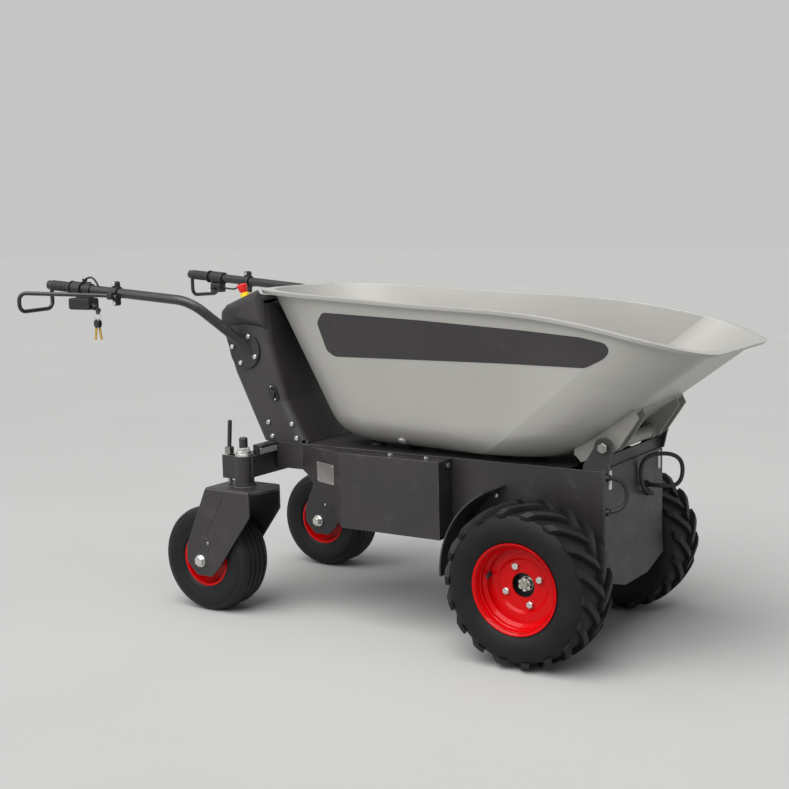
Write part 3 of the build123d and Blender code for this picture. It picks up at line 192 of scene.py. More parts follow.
# finishes
def tubPlastic():
    look = Finish("silver_tub_plastic")
    cloud = look.noise(2.6, 3)
    fleck = look.noise(1500, 2)
    drawn = look.noise(60, 3, 0.6, (0.25, 1.0, 3.0))
    base = look.blend(look.remap(cloud, 0.3, 0.7), tone(163, 161, 156), tone(172, 170, 165))
    base = look.blend(look.remap(fleck, 0.55, 0.75, 0, 0.2), base, tone(196, 195, 192))
    scuff = look.remap(look.noise(34, 6, 0.65, (0.4, 1.0, 1.6)), 0.66, 0.74, 0, 0.35)
    base = look.blend(scuff, base, tone(176, 174, 168))
    rounded = look.roundEdges(0.0025)
    relief = look.bump(drawn * 0.6 + fleck * 0.4, 0.12, 0.0008, rounded)
    return look.set(Base_Color=base, Roughness=look.remap(drawn, 0.3, 0.7, 0.34, 0.44), Normal=relief,
                    Metallic=0.3, Coat_Weight=0.12, Coat_Roughness=0.25)


def coatedSteel(name, dark, light, rough, grain=700.0, edge=0.0015, shine=0.0):
    look = Finish(name)
    cloud = look.noise(4.5, 4)
    peel = look.noise(grain, 2)
    dust = look.noise(24, 6, 0.62)
    rounded = look.roundEdges(edge)
    base = look.blend(look.remap(cloud, 0.3, 0.7), dark, light)
    base = look.blend(look.remap(dust, 0.58, 0.8, 0, 0.18), base, tone(118, 112, 106))
    # edges made lighter: partly paint worn through, partly a painted highlight that stands in for light catching
    # the edges
    wornAndHighlitEdge = look.edgeWearAndHighlight(rounded, 0.02, 0.2) * look.remap(dust, 0.3, 0.5) * 0.75
    base = look.blend(wornAndHighlitEdge, base, tone(140, 136, 134))
    level = look.remap(dust, 0.3, 0.75, rough - 0.06, rough + 0.1)
    return look.set(Base_Color=base, Roughness=level, Normal=look.bump(peel, 0.16, 0.0006, rounded),
                    Coat_Weight=shine, Coat_Roughness=0.2)


def mouldedPlastic(name, dark, light, rough, grain=900.0, depth=0.0006, edge=0.0015):
    look = Finish(name)
    cloud = look.noise(5, 3)
    pits = look.add("ShaderNodeTexVoronoi", {}, {"Vector": look.place, "Scale": grain})
    rounded = look.roundEdges(edge)
    base = look.blend(look.remap(cloud, 0.3, 0.7), dark, light)
    rub = look.remap(look.noise(30, 6, 0.6), 0.6, 0.8, 0, 0.16)
    base = look.blend(rub, base, tone(112, 108, 106))
    return look.set(Base_Color=base, Roughness=look.remap(cloud, 0.25, 0.75, rough - 0.05, rough + 0.06),
                    Normal=look.bump(pits, 0.22, depth, rounded))


def tyreRubber(name, axle, shoulder, crown):
    look = Finish(name)
    reach = look.around(*axle)
    bloom = look.noise(14, 5, 0.6)
    fine = look.noise(420, 3)
    base = look.blend(look.remap(bloom, 0.35, 0.7), tone(19, 19, 20), tone(26, 26, 27))
    tread = look.remap(reach, shoulder, crown) * look.remap(bloom, 0.3, 0.62, 0.25, 1)
    base = look.blend(tread * 0.35, base, tone(60, 57, 54))
    specks = look.remap(look.noise(160, 3, 0.7), 0.70, 0.78, 0, 0.5)
    base = look.blend(specks, base, tone(92, 89, 84))
    rings = look.remap((reach * 1570).sine(), 0.82, 1.0) * look.remap(reach, shoulder, shoulder - 0.004)
    relief = look.bump(rings * 0.8 + fine * 0.35, 0.35, 0.0012)
    return look.set(Base_Color=base, Roughness=look.remap(bloom, 0.3, 0.7, 0.44, 0.6), Normal=relief,
                    Specular_IOR_Level=0.2)


def glossPaint(name, dark, light, rough):
    look = Finish(name)
    cloud = look.noise(9, 4)
    peel = look.noise(380, 2)
    rounded = look.roundEdges(0.0015)
    base = look.blend(look.remap(cloud, 0.3, 0.7), dark, light)
    dust = look.remap(look.noise(60, 6, 0.65), 0.6, 0.8, 0, 0.14)
    base = look.blend(dust, base, tone(110, 24, 24))
    return look.set(Base_Color=base, Roughness=look.remap(cloud, 0.3, 0.7, rough, rough + 0.12),
                    Normal=look.bump(peel, 0.08, 0.0005, rounded), Coat_Weight=0.15, Coat_Roughness=0.06,
                    Specular_IOR_Level=0.12)


def bareMetal(name, dark, light, rough):
    look = Finish(name)
    lines = look.noise(240, 4, 0.6, (1.0, 1.0, 6.0))
    spots = look.noise(70, 4)
    base = look.blend(look.remap(lines, 0.3, 0.7), dark, light)
    level = look.remap(spots, 0.3, 0.7, rough - 0.06, rough + 0.1)
    return look.set(Base_Color=base, Metallic=1.0, Roughness=level,
                    Normal=look.bump(lines, 0.12, 0.0004, look.roundEdges(0.0008)))


def hubSteel(axle, nutReach):  # dark greased flange round a bright nut
    look = Finish("hub_steel")
    lines = look.noise(240, 4, 0.6)
    flange = look.remap(look.around(*axle), nutReach, nutReach + 0.0015)
    base = look.blend(look.remap(lines, 0.3, 0.7), tone(150, 145, 134), tone(186, 181, 170))
    base = look.blend(flange, base, tone(30, 29, 30))
    level = look.remap(lines, 0.3, 0.7, 0.3, 0.46)
    return look.set(Base_Color=base, Metallic=1 - flange * 0.6, Roughness=level,
                    Normal=look.bump(lines, 0.12, 0.0004, look.roundEdges(0.0008)))


def rubberSkin(name, dark, light, rough, ribs=0.0):
    look = Finish(name)
    cloud = look.noise(22, 4)
    fine = look.noise(800, 2)
    base = look.blend(look.remap(cloud, 0.3, 0.7), dark, light)
    height = fine * 0.4
    if ribs:
        height = height + look.remap((look.axis("X") * (2 * math.pi / ribs)).sine(), -0.3, 0.5)
    return look.set(Base_Color=base, Roughness=look.remap(cloud, 0.3, 0.7, rough - 0.06, rough + 0.06),
                    Normal=look.bump(height, 0.5, 0.0012, look.roundEdges(0.001)))


def keySet(bowLow, bowHigh):  # brass blades under black bows, on a bright ring
    look = Finish("keys")
    height = look.axis("Z")
    milled = look.noise(500, 3, 0.5, (6.0, 1.0, 1.0))
    brass = look.blend(look.remap(milled, 0.3, 0.7), tone(196, 158, 78), tone(226, 196, 120))
    bow = (height > bowLow) * (height < bowHigh)
    base = look.blend(height > bowHigh, brass, tone(200, 200, 198))
    base = look.blend(bow, base, tone(34, 33, 35))
    return look.set(Base_Color=base, Metallic=1 - bow, Roughness=look.remap(milled, 0.2, 0.8, 0.26, 0.42),
                    Normal=look.bump(milled, 0.1, 0.0003))


def axleOf(joint):
    place = joints[joint]["pos_m"]
    return place[0], place[2]


keySpec = {"ring": 0.022, "bow": 0.0235, "gap": 0.0005}  # metres, down from the bunch's top
wheelAxle, castorAxle = axleOf("left_wheel_spin"), axleOf("left_castor_spin")
silver = tubPlastic()
chassisPaint = coatedSteel("chassis_powder_coat", tone(38, 35, 36), tone(45, 41, 42), 0.42)
cowlSkin = mouldedPlastic("cowl_plastic", tone(42, 39, 40), tone(49, 45, 46), 0.4, 650.0, 0.0009, 0.004)
driveRubber = tyreRubber("drive_tyre_rubber", wheelAxle, 0.182, 0.203)
castorRubber = tyreRubber("castor_tyre_rubber", castorAxle, 0.128, 0.15)
redPaint = glossPaint("red_rim_paint", tone(184, 1, 5), tone(202, 2, 8), 0.22)
zinc = bareMetal("zinc_plate", tone(190, 190, 186), tone(224, 224, 220), 0.3)
steel = bareMetal("turned_steel", tone(132, 130, 127), tone(164, 162, 158), 0.36)
hubMetal = hubSteel(wheelAxle, 0.0175)
bracketPaint = coatedSteel("bracket_grey_paint", tone(126, 124, 118), tone(142, 140, 134), 0.42)
handlePaint = coatedSteel("black_handle_coat", tone(28, 27, 29), tone(35, 33, 35), 0.36, 900.0, 0.001, 0.15)
softRubber = rubberSkin("soft_black_rubber", tone(26, 26, 27), tone(33, 33, 34), 0.68)
gripRubber = rubberSkin("grip_rubber", tone(34, 34, 35), tone(42, 42, 42), 0.62, 0.0055)
blackPlastic = mouldedPlastic("black_plastic", tone(22, 21, 23), tone(29, 28, 29), 0.44)
stopRed = mouldedPlastic("stop_red_plastic", tone(222, 20, 16), tone(232, 30, 24), 0.3, 1200.0, 0.0002)
stopYellow = mouldedPlastic("stop_yellow_plastic", tone(236, 208, 16), tone(244, 220, 30), 0.34, 1200.0,
                            0.0002)
lampWhite = mouldedPlastic("white_reflector", tone(226, 226, 222), tone(240, 240, 236), 0.24, 260.0, 0.0008)
castPaint = coatedSteel("cast_housing_paint", tone(58, 58, 60), tone(68, 68, 70), 0.6, 320.0)
bronze = bareMetal("bearing_bronze", tone(168, 128, 70), tone(190, 150, 90), 0.4)
alloy = bareMetal("cast_alloy", tone(170, 170, 170), tone(192, 192, 192), 0.42)
cableSkin = rubberSkin("cable_sheath", tone(28, 28, 29), tone(36, 36, 37), 0.56)
stripeFilm = mouldedPlastic("stripe_film", tone(41, 37, 38), tone(46, 42, 43), 0.42, 1600.0, 0.0001, 0.0004)
plateGrey = coatedSteel("plate_grey", tone(104, 102, 98), tone(114, 112, 108), 0.4, 1200.0, 0.0004)
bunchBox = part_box("key_bunch")
ringLow = bunchBox[1].z - keySpec["ring"]
keyLook = keySet(ringLow - keySpec["bow"], ringLow - keySpec["gap"])
print("finishes made")

slotLooks = {
    "tub_plastic": silver, "chassis_paint": chassisPaint, "cowl_plastic": cowlSkin, "rim_paint": redPaint,
    "zinc": zinc, "steel": steel, "bracket_paint": bracketPaint, "handle_paint": handlePaint,
    "black_rubber": softRubber, "black_plastic": blackPlastic, "stop_red": stopRed, "stop_yellow": stopYellow,
    "reflector_white": lampWhite, "cast_iron": castPaint, "bronze": bronze, "alloy": alloy,
    "key_brass": keyLook, "cable": cableSkin, "drive_rubber": driveRubber,
}
nodeLooks = {"hinge_bolts": steel, "castor_tyre_left": castorRubber, "castor_tyre_right": castorRubber,
             "grips": gripRubber, "drive_hub_left": hubMetal, "drive_hub_right": hubMetal}
for part in frame["record"]["subparts"]:
    shown = nodes[part["node"]]
    shown.data.materials.clear()
    shown.data.materials.append(nodeLooks.get(part["node"], slotLooks[part["material_slot"]]))
print("CAD nodes dressed")


# cables: two on the front panel, and one short lead on each handlebar
cableSpec = {
    "radius": 5.5, "panel": 156.0, "hoopEnds": ((-172.0, 462.0), (-172.0, 376.0)), "hoopReach": 46.0,
    "hoopLean": 26.0, "ringEnds": ((75.0, 402.0), (80.0, 380.0)), "ringMiddle": (210.0, 55.0, 446.0),
    "ringWidth": 54.0, "ringHeight": 43.0, "ringTurn": (0.8, 0.6), "ringDip": 6.0,
    "ringLeave": (34.0, -8.0, -1.0), "ringReturn": (36.0, -12.0, -2.0),
}
barSpec = {"bend": (-1062.0, 287.0, 880.0), "end": (-1598.0, 315.0, 923.0), "radius": 14.0}
leadSpec = {
    "wire": 3.0,
    "throttle": {"at": -1482.0, "leave": (17.0, -18.0), "rise": (34.0, 15.0), "bow": (40.0, -36.0),
                 "bowAt": 66.0, "land": 78.0},
    "switch": {"at": -1466.0, "leave": (15.0, 32.0), "dip": (46.0, -4.0), "sag": (80.0, -16.0), "land": 92.0},
}


def onBar(x, drop=0.0):  # the left handlebar's middle line, in millimetres
    bend, end = barSpec["bend"], barSpec["end"]
    share = (x - bend[0]) / (end[0] - bend[0])
    return (x, bend[1] + share * (end[1] - bend[1]), bend[2] + share * (end[2] - bend[2]) - drop)


def layCord(name, route, radius):
    line = bpy.data.curves.new(name, "CURVE")
    line.dimensions = "3D"
    spline = line.splines.new("NURBS")
    spline.points.add(len(route) - 1)
    for point, place in zip(spline.points, route):
        point.co = (*spot(*place), 1.0)
        point.radius = radius / 1000
    spline.order_u = 3
    spline.use_endpoint_u = True
    spline.resolution_u = 16
    line.bevel_depth = 1.0
    line.bevel_resolution = 5
    line.use_fill_caps = True
    cord = bpy.data.objects.new(name, line)
    bpy.context.scene.collection.objects.link(cord)
    line.materials.append(cableSkin)
    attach(cord, "chassis")
    return cord


def lengthOf(cord):  # along the middle line, without the bevel
    depth, cord.data.bevel_depth = cord.data.bevel_depth, 0.0
    bare = bpy.data.meshes.new_from_object(cord)
    cord.data.bevel_depth = depth
    places = [vertex.co.copy() for vertex in bare.vertices]
    bpy.data.meshes.remove(bare)
    return sum((second - first).length for first, second in zip(places, places[1:]))


def shifted(place, shift):
    return tuple(a + b for a, b in zip(place, shift))


def hoopRoute():
    spec = cableSpec
    out, lean = spec["panel"] + spec["hoopReach"], spec["hoopLean"]
    (yHigh, zHigh), (yLow, zLow) = spec["hoopEnds"]
    return [(spec["panel"], yHigh, zHigh), (out, yHigh + lean, zHigh), (out, yLow + lean, zLow),
            (spec["panel"], yLow, zLow)]


def ringRoute():
    spec = cableSpec
    x, y, z = spec["ringMiddle"]
    along, across = (share * spec["ringWidth"] for share in spec["ringTurn"])
    low, high = z - spec["ringHeight"], z + spec["ringHeight"]
    first, last = ((spec["panel"], *end) for end in spec["ringEnds"])
    return [first, shifted(first, spec["ringLeave"]),
            (x + along, y + across, low), (x + along, y + across, high),
            (x - along, y - across, high), (x - along, y - across, low - spec["ringDip"]),
            shifted(last, spec["ringReturn"]), last]


def throttleRoute():  # over the right handlebar, so worked out on the left one and mirrored
    spec = leadSpec["throttle"]
    at = spec["at"]
    start = onBar(at + spec["leave"][0], spec["leave"][1])
    bow = onBar(at + spec["bow"][0], spec["bow"][1])
    end = onBar(at + spec["land"], -barSpec["radius"])
    rise = (at + spec["rise"][0], start[1], start[2] + spec["rise"][1])
    return [(x, -y, z) for x, y, z in (start, rise, (at + spec["bowAt"], bow[1], bow[2]), end)]


def switchRoute():  # under the left handlebar
    spec = leadSpec["switch"]
    at = spec["at"]
    start = onBar(at + spec["leave"][0], spec["leave"][1])
    end = onBar(at + spec["land"], barSpec["radius"])
    dip = (at + spec["dip"][0], start[1], start[2] + spec["dip"][1])
    return [start, dip, (at + spec["sag"][0], end[1], end[2] + spec["sag"][1]), end]


def makeCables():
    thick, thin = cableSpec["radius"], leadSpec["wire"]
    routes = (("front_cable_hoop", hoopRoute(), thick), ("front_cable_ring", ringRoute(), thick),
              ("throttle_lead", throttleRoute(), thin), ("switch_lead", switchRoute(), thin))
    for name, route, radius in routes:
        cord = layCord(name, route, radius)
        tuple(spot(*route[0]))
        lengthOf(cord)
        2 * radius / 1000
        "taut" if radius < 4 else "loose"
    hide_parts("cables")
    print("cables laid")


makeCables()


# small pieces, modelled one by one
edgeAngle = math.radians(35)  # sharper edges than this are softened, or stay crisp in the shading


def startClean():
    if bpy.context.object and bpy.context.object.mode != "OBJECT":
        bpy.ops.object.mode_set(mode="OBJECT")
    bpy.ops.object.select_all(action="DESELECT")


def pickFaces(piece, test):  # into edit mode with the chosen faces selected
    bpy.ops.object.mode_set(mode="EDIT")
    bpy.ops.mesh.select_mode(type="FACE")
    bpy.ops.mesh.select_all(action="DESELECT")
    bpy.ops.object.mode_set(mode="OBJECT")
    for face in piece.data.polygons:
        face.select = test(face)
    bpy.ops.object.mode_set(mode="EDIT")


def leaveEdit():
    bpy.ops.object.mode_set(mode="OBJECT")


def softenEdges(piece, width):
    bevel = piece.modifiers.new("soft_edges", "BEVEL")
    bevel.width = width
    bevel.segments = 2
    bevel.limit_method = "ANGLE"
    bevel.angle_limit = edgeAngle
    bpy.context.view_layer.objects.active = piece
    bpy.ops.object.modifier_apply(modifier=bevel.name)


def finishPiece(piece, name, look, body):
    piece.name = name
    piece.data.name = name
    piece.data.materials.clear()
    piece.data.materials.append(look)
    startClean()
    piece.select_set(True)
    bpy.context.view_layer.objects.active = piece
    bpy.ops.object.transform_apply(location=True, rotation=True, scale=True)
    bpy.ops.object.shade_smooth_by_angle(angle=edgeAngle)
    piece.select_set(False)
    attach(piece, body)
    return piece


def putDown(master, places):  # a copy with its own mesh at each place, pointing outwards, all in one piece
    copies = []
    for place, outward in places:
        twin = master.copy()
        twin.data = master.data.copy()
        bpy.context.scene.collection.objects.link(twin)
        turn = Vector(outward).to_track_quat("Z", "Y").to_matrix().to_4x4()
        twin.data.transform(Matrix.Translation(place) @ turn)
        copies.append(twin)
    bpy.data.objects.remove(master)
    startClean()
    for twin in copies:
        twin.select_set(True)
    bpy.context.view_layer.objects.active = copies[0]
    if len(copies) > 1:
        bpy.ops.object.join()
    return copies[0]


def domedHead(radius, height):  # rivet or cap screw head on the XY plane
    startClean()
    bpy.ops.mesh.primitive_cylinder_add(vertices=20, radius=radius, depth=height, location=(0, 0, height / 2))
    head = bpy.context.object
    bpy.ops.object.transform_apply(location=True)
    pickFaces(head, lambda face: face.normal.z > 0.9)
    for inset, rise in ((0.22, 0.30), (0.22, 0.16), (0.2, 0.06)):
        bpy.ops.mesh.inset(thickness=radius * inset)
        bpy.ops.transform.translate(value=(0, 0, height * rise))
    leaveEdit()
    return head


def hexHead(radius, height):  # hexagon with a chamfered crown
    startClean()
    bpy.ops.mesh.primitive_cylinder_add(vertices=6, radius=radius, depth=height, location=(0, 0, height / 2))
    head = bpy.context.object
    bpy.ops.object.transform_apply(location=True)
    pickFaces(head, lambda face: face.normal.z > 0.9)
    bpy.ops.mesh.inset(thickness=radius * 0.16)
    bpy.ops.transform.translate(value=(0, 0, height * 0.14))
    leaveEdit()
    softenEdges(head, radius * 0.05)
    return head


def otherSide(places):
    return [((x, -y, z), (nx, -ny, nz)) for (x, y, z), (nx, ny, nz) in places]


def bothSides(places):
    return places + otherSide(places)


def inFrame(places):
    return [(spot(*place), outward) for place, outward in places]


# dark stripe along each side of the tub, a film that follows the wall
stripeSpec = {
    "outline": ((-637.7, 853.6), (-319.2, 841.0), (-26.2, 825.0), (136.2, 813.2), (200.5, 801.3),
                (211.1, 784.9), (196.8, 765.3), (144.9, 740.0), (-89.1, 740.5), (-330.5, 737.7),
                (-611.7, 734.1), (-639.2, 749.1), (-661.9, 825.4)),
    "start": 330.0, "corner": 9.0, "step": 22.0, "rows": (745, 850, 15), "lift": 0.0004, "film": 0.0005,
}


def tubStripe(side):
    spec = stripeSpec
    startClean()
    bpy.ops.mesh.primitive_circle_add(vertices=len(spec["outline"]), radius=0.1, fill_type="NGON")
    stripe = bpy.context.object
    for vertex, (x, z) in zip(stripe.data.vertices, spec["outline"]):
        vertex.co = spot(x, side * spec["start"], z)
    bpy.ops.object.mode_set(mode="EDIT")
    bpy.ops.mesh.select_all(action="SELECT")
    bpy.ops.mesh.bevel(offset=spec["corner"] / 1000, segments=4, affect="VERTICES")
    xs = [x for x, z in spec["outline"]]
    cut = min(xs) + spec["step"]
    while cut < max(xs):
        bpy.ops.mesh.select_all(action="SELECT")
        bpy.ops.mesh.bisect(plane_co=spot(cut, 0, 0), plane_no=(1, 0, 0))
        cut += spec["step"]
    for height in range(*spec["rows"]):
        bpy.ops.mesh.select_all(action="SELECT")
        bpy.ops.mesh.bisect(plane_co=spot(0, 0, height), plane_no=(0, 0, 1))
    leaveEdit()
    wrap = stripe.modifiers.new("follow_wall", "SHRINKWRAP")
    wrap.target = nodes["tub"]
    wrap.wrap_method = "PROJECT"
    wrap.use_project_y = True
    wrap.use_negative_direction = True
    wrap.use_positive_direction = True
    wrap.wrap_mode = "ABOVE_SURFACE"
    wrap.offset = spec["lift"]
    bpy.ops.object.modifier_apply(modifier=wrap.name)
    bpy.ops.object.mode_set(mode="EDIT")
    bpy.ops.mesh.select_all(action="SELECT")
    bpy.ops.mesh.normals_make_consistent(inside=False)
    leaveEdit()
    if stripe.data.polygons[0].normal.y * side < 0:
        stripe.data.flip_normals()
    shell = stripe.modifiers.new("film", "SOLIDIFY")
    shell.thickness = spec["film"]
    shell.offset = 1.0
    bpy.ops.object.modifier_apply(modifier=shell.name)
    finishPiece(stripe, "tub_stripe_" + ("left" if side > 0 else "right"), stripeFilm, "tub")


tubStripe(1)
tubStripe(-1)

# bare rating plate on the chamfer of the right battery box
plateSpec = {"middle": (-652.0, -224.6, 411.0), "outward": (-0.359, -0.933, 0.0), "wide": 84.0, "tall": 56.0,
             "thick": 0.8, "corner": 4.0, "border": 2.2, "step": 0.6, "recess": 0.3, "margin": 5.0,
             "rivet": 2.2, "rivetHeight": 1.2}


def ratingPlate():
    spec = plateSpec
    startClean()
    bpy.ops.mesh.primitive_cube_add(size=1.0)
    plate = bpy.context.object
    plate.scale = (spec["wide"] / 1000, spec["tall"] / 1000, spec["thick"] / 1000)
    bpy.ops.object.transform_apply(scale=True)
    bpy.ops.object.mode_set(mode="EDIT")
    bpy.ops.mesh.select_all(action="DESELECT")
    bpy.ops.mesh.select_mode(type="EDGE")
    leaveEdit()
    for edge in plate.data.edges:
        first, second = (plate.data.vertices[index].co for index in edge.vertices)
        edge.select = abs(first.z - second.z) > 0.0001
    bpy.ops.object.mode_set(mode="EDIT")
    bpy.ops.mesh.bevel(offset=spec["corner"] / 1000, segments=4)
    leaveEdit()
    pickFaces(plate, lambda face: face.normal.z > 0.9)
    bpy.ops.mesh.inset(thickness=spec["border"] / 1000)
    bpy.ops.mesh.inset(thickness=spec["step"] / 1000, depth=-spec["recess"] / 1000)
    leaveEdit()
    outward = Vector(spec["outward"])
    along = Vector((0, 0, 1)).cross(outward).normalized()
    turn = Matrix((along, Vector((0, 0, 1)), outward)).transposed().to_4x4()
    plate.data.transform(Matrix.Translation(spot(*spec["middle"])) @ turn)
    finishPiece(plate, "rating_plate", plateGrey, "chassis")
    corners = []
    for across in (-1, 1):
        for rise in (-1, 1):
            shift = along * across * (spec["wide"] / 2 - spec["margin"]) / 1000
            lift = Vector((0, 0, rise * (spec["tall"] / 2 - spec["margin"]) / 1000))
            face = outward * spec["thick"] / 2 / 1000
            corners.append((spot(*spec["middle"]) + shift + lift + face, spec["outward"]))
    rivets = putDown(domedHead(spec["rivet"] / 1000, spec["rivetHeight"] / 1000), corners)
    finishPiece(rivets, "rating_plate_rivets", zinc, "chassis")


ratingPlate()

# rivets, screws and bolts that the photograph shows
headSpec = {
    "fork_rivets_": {"make": domedHead, "radius": 5.0, "height": 2.6, "look": steel, "slot": "steel",
                     "body": "_castor", "places": [((-977.0, 350.5, 203.6), (0, 1, 0)),
                                                   ((-977.0, 209.5, 203.6), (0, -1, 0))]},
    "mudguard_bolts": {"make": hexHead, "radius": 7.0, "height": 5.0, "look": zinc, "slot": "zinc",
                       "places": bothSides([((-140.0, 182.0, 392.0), (0, 1, 0))])},
    "socket_screws": {"make": domedHead, "radius": 2.6, "height": 1.6, "look": zinc, "slot": "zinc",
                      "places": [((-862.6, -187.0, 634.9), (0, -1, 0)),
                                 ((-847.4, -187.0, 599.1), (0, -1, 0))]},
}


def makeHeads():
    for name, spec in headSpec.items():
        runs = [(name, "chassis", spec["places"])]
        if "body" in spec:  # a set on each side's own body
            runs = [(name + side, side + spec["body"], places)
                    for side, places in (("left", spec["places"]), ("right", otherSide(spec["places"])))]
        for title, body, places in runs:
            heads = putDown(spec["make"](spec["radius"] / 1000, spec["height"] / 1000), inFrame(places))
            finishPiece(heads, title, spec["look"], body)


makeHeads()

# tyre valves in the drive rims
valveSpec = {"place": (-88.6, 319.0, 225.2), "outward": (0.34, 0.93, -0.12),
             "profile": ((7.5, 0.0), (6.5, 3.0), (4.6, 5.0), (4.2, 18.0), (3.6, 20.0), (3.6, 27.0),
                         (2.6, 29.0))}


def tyreValve(side, sign):
    spec = valveSpec
    startClean()
    bpy.ops.mesh.primitive_circle_add(vertices=20, radius=spec["profile"][0][0] / 1000, fill_type="NGON")
    valve = bpy.context.object
    bpy.ops.object.mode_set(mode="EDIT")
    bpy.ops.mesh.select_all(action="SELECT")
    for (wide, low), (narrow, high) in zip(spec["profile"], spec["profile"][1:]):
        bpy.ops.mesh.extrude_region_move(TRANSFORM_OT_translate={"value": (0, 0, (high - low) / 1000)})
        share = narrow / wide
        bpy.ops.transform.resize(value=(share, share, 1.0), center_override=(0, 0, high / 1000))
    bpy.ops.mesh.select_all(action="SELECT")
    bpy.ops.mesh.normals_make_consistent(inside=False)
    leaveEdit()
    (x, y, z), (nx, ny, nz) = spec["place"], spec["outward"]
    placed = putDown(valve, [(spot(x, sign * y, z), (nx, sign * ny, nz))])
    finishPiece(placed, "tyre_valve_" + side, softRubber, side + "_wheel")


tyreValve("left", 1)
tyreValve("right", -1)

# gussets between the handlebars and their plates
gussetSpec = {"foot": ((-966.0, 188.0, 784.0), (-928.0, 188.0, 731.0)), "top": (-966.0, 212.0, 786.0),
              "thick": 4.0, "nip": 0.18, "edge": 0.6}


def handleGusset(side, sign):
    spec = gussetSpec
    low, high, top = (spot(x, sign * y, z) for x, y, z in (*spec["foot"], spec["top"]))
    startClean()
    bpy.ops.mesh.primitive_circle_add(vertices=4, radius=0.01, fill_type="NGON")
    gusset = bpy.context.object
    nip = high + (top - low) * spec["nip"]
    for vertex, place in zip(gusset.data.vertices, (low, high, nip, top)):
        vertex.co = place
    gusset.data.update()
    across = (high - low).cross(top - low).normalized() * spec["thick"] / 1000
    bpy.ops.object.mode_set(mode="EDIT")
    bpy.ops.mesh.select_all(action="SELECT")
    bpy.ops.mesh.extrude_region_move(TRANSFORM_OT_translate={"value": across})
    bpy.ops.mesh.select_all(action="SELECT")
    bpy.ops.mesh.normals_make_consistent(inside=False)
    leaveEdit()
    softenEdges(gusset, spec["edge"] / 1000)
    finishPiece(gusset, "handle_gusset_" + side, handlePaint, "chassis")


handleGusset("left", 1)
handleGusset("right", -1)

# moulded bosses low on the tub, and weld beads round the castor pivots
bossSpec = {"place": (-431.0, 170.2, 510.6), "outward": (-0.058, 0.607, -0.793), "radius": 13.0,
            "height": 5.0}
bosses = putDown(domedHead(bossSpec["radius"] / 1000, bossSpec["height"] / 1000),
                 inFrame(bothSides([(bossSpec["place"], bossSpec["outward"])])))
finishPiece(bosses, "tub_bosses", silver, "tub")

weldSpec = {"radius": 29.5, "bead": 3.2, "height": 364.0, "pivot": (-893.0, 280.0), "scales": 46,
            "swell": (0.86, 0.16)}


def pivotWeld(side, sign):
    spec = weldSpec
    startClean()
    bpy.ops.mesh.primitive_torus_add(major_segments=2 * spec["scales"], minor_segments=10,
                                     major_radius=spec["radius"] / 1000, minor_radius=spec["bead"] / 1000)
    weld = bpy.context.object
    mean, wave = spec["swell"]
    for vertex in weld.data.vertices:  # overlapping scales of the bead
        angle = math.atan2(vertex.co.y, vertex.co.x)
        middle = Vector((math.cos(angle), math.sin(angle), 0)) * spec["radius"] / 1000
        vertex.co = middle + (vertex.co - middle) * (mean + wave * math.cos(angle * spec["scales"]))
    x, y = spec["pivot"]
    weld.data.transform(Matrix.Translation(spot(x, sign * y, spec["height"])))
    finishPiece(weld, "pivot_weld_" + side, chassisPaint, side + "_castor")


pivotWeld("left", 1)
pivotWeld("right", -1)
print("small pieces made")


# stage: plain soft light, a pale background and a pale floor
studioSpec = {
    "glow": (0.95, 0.98, 1.0, 1.0), "glowStrength": 0.42, "background": (0.56, 0.565, 0.558, 1.0),
    "aim": (-300.0, 0.0, 400.0),
    "sun": {"name": "sky_lamp", "place": (-500, -2300, 4000), "power": 3.5, "angle": 60.0},
    "areas": ({"name": "side_lamp", "place": (-3400, -4400, 2300), "power": 40.0, "size": 2.6, "spread": 180},
              {"name": "tub_lamp", "place": (-240, -120, 2900), "power": 9.0, "size": 1.6, "spread": 120}),
}
floorSpec = {"size": 60, "dark": tone(170, 170, 168), "light": tone(173, 173, 171), "rough": 0.9}


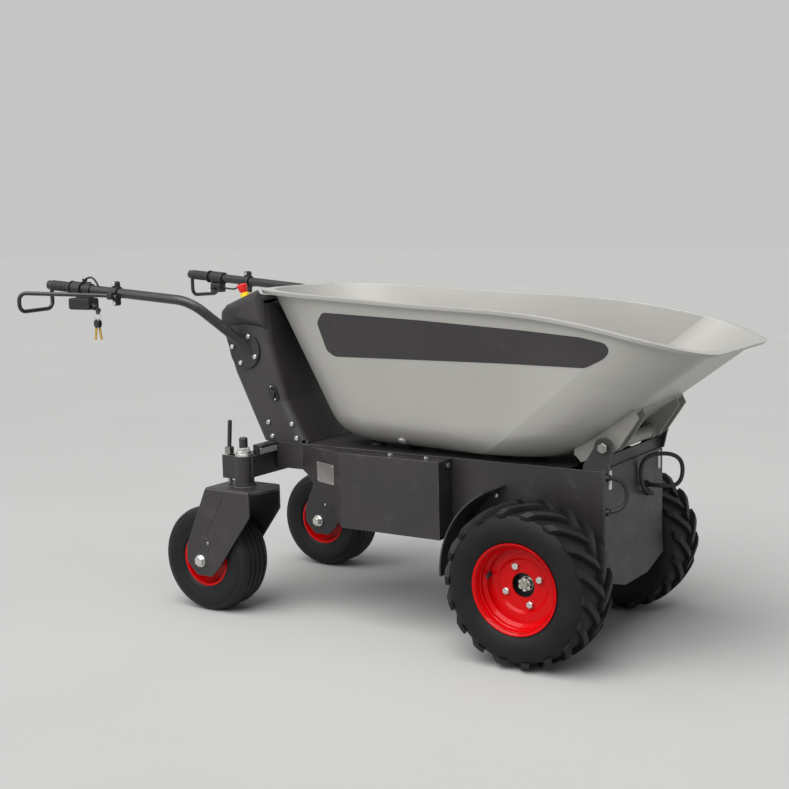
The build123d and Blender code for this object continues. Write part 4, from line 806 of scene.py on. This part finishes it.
def hangLamp(name, kind, place, power):
    lampData = bpy.data.lights.new(name, kind)
    lampData.energy = power
    lamp = bpy.data.objects.new(name, lampData)
    bpy.context.scene.collection.objects.link(lamp)
    lamp.location = spot(*place)
    aim = spot(*studioSpec["aim"]) - lamp.location
    lamp.rotation_euler = aim.to_track_quat("-Z", "Y").to_euler()
    return lampData


def lightStudio():
    spec = studioSpec
    world = bpy.data.worlds.new("studio")
    bpy.context.scene.world = world
    world.use_nodes = True
    tree = world.node_tree
    glow = tree.nodes["Background"]
    glow.inputs["Color"].default_value = spec["glow"]
    glow.inputs["Strength"].default_value = spec["glowStrength"]
    shown = tree.nodes.new("ShaderNodeBackground")
    shown.inputs["Color"].default_value = spec["background"]
    path = tree.nodes.new("ShaderNodeLightPath")
    choice = tree.nodes.new("ShaderNodeMixShader")
    seen = path.outputs["Is Camera Ray"]
    for ray in ("Is Glossy Ray", "Is Transmission Ray"):  # metal and glass show the background as well
        either = tree.nodes.new("ShaderNodeMath")
        either.operation = "MAXIMUM"
        tree.links.new(seen, either.inputs[0])
        tree.links.new(path.outputs[ray], either.inputs[1])
        seen = either.outputs[0]
    tree.links.new(seen, choice.inputs[0])
    tree.links.new(glow.outputs[0], choice.inputs[1])
    tree.links.new(shown.outputs[0], choice.inputs[2])
    tree.links.new(choice.outputs[0], tree.nodes["World Output"].inputs["Surface"])
    sun = spec["sun"]
    hangLamp(sun["name"], "SUN", sun["place"], sun["power"]).angle = math.radians(sun["angle"])
    for area in spec["areas"]:
        lampData = hangLamp(area["name"], "AREA", area["place"], area["power"])
        lampData.size = area["size"]
        lampData.spread = math.radians(area["spread"])


def layFloor():
    bpy.ops.object.select_all(action="DESELECT")
    bpy.ops.mesh.primitive_plane_add(size=floorSpec["size"], location=(0, 0, 0))
    floor = bpy.context.object
    floor.name = "floor"
    look = Finish("pale_floor")
    cloud = look.noise(1.2, 4)
    look.set(Base_Color=look.blend(look.remap(cloud, 0.3, 0.7), floorSpec["dark"], floorSpec["light"]),
             Roughness=floorSpec["rough"])
    floor.data.materials.append(look.material)


lightStudio()
layFloor()
print("stage lit")

bpy.context.view_layer.update()
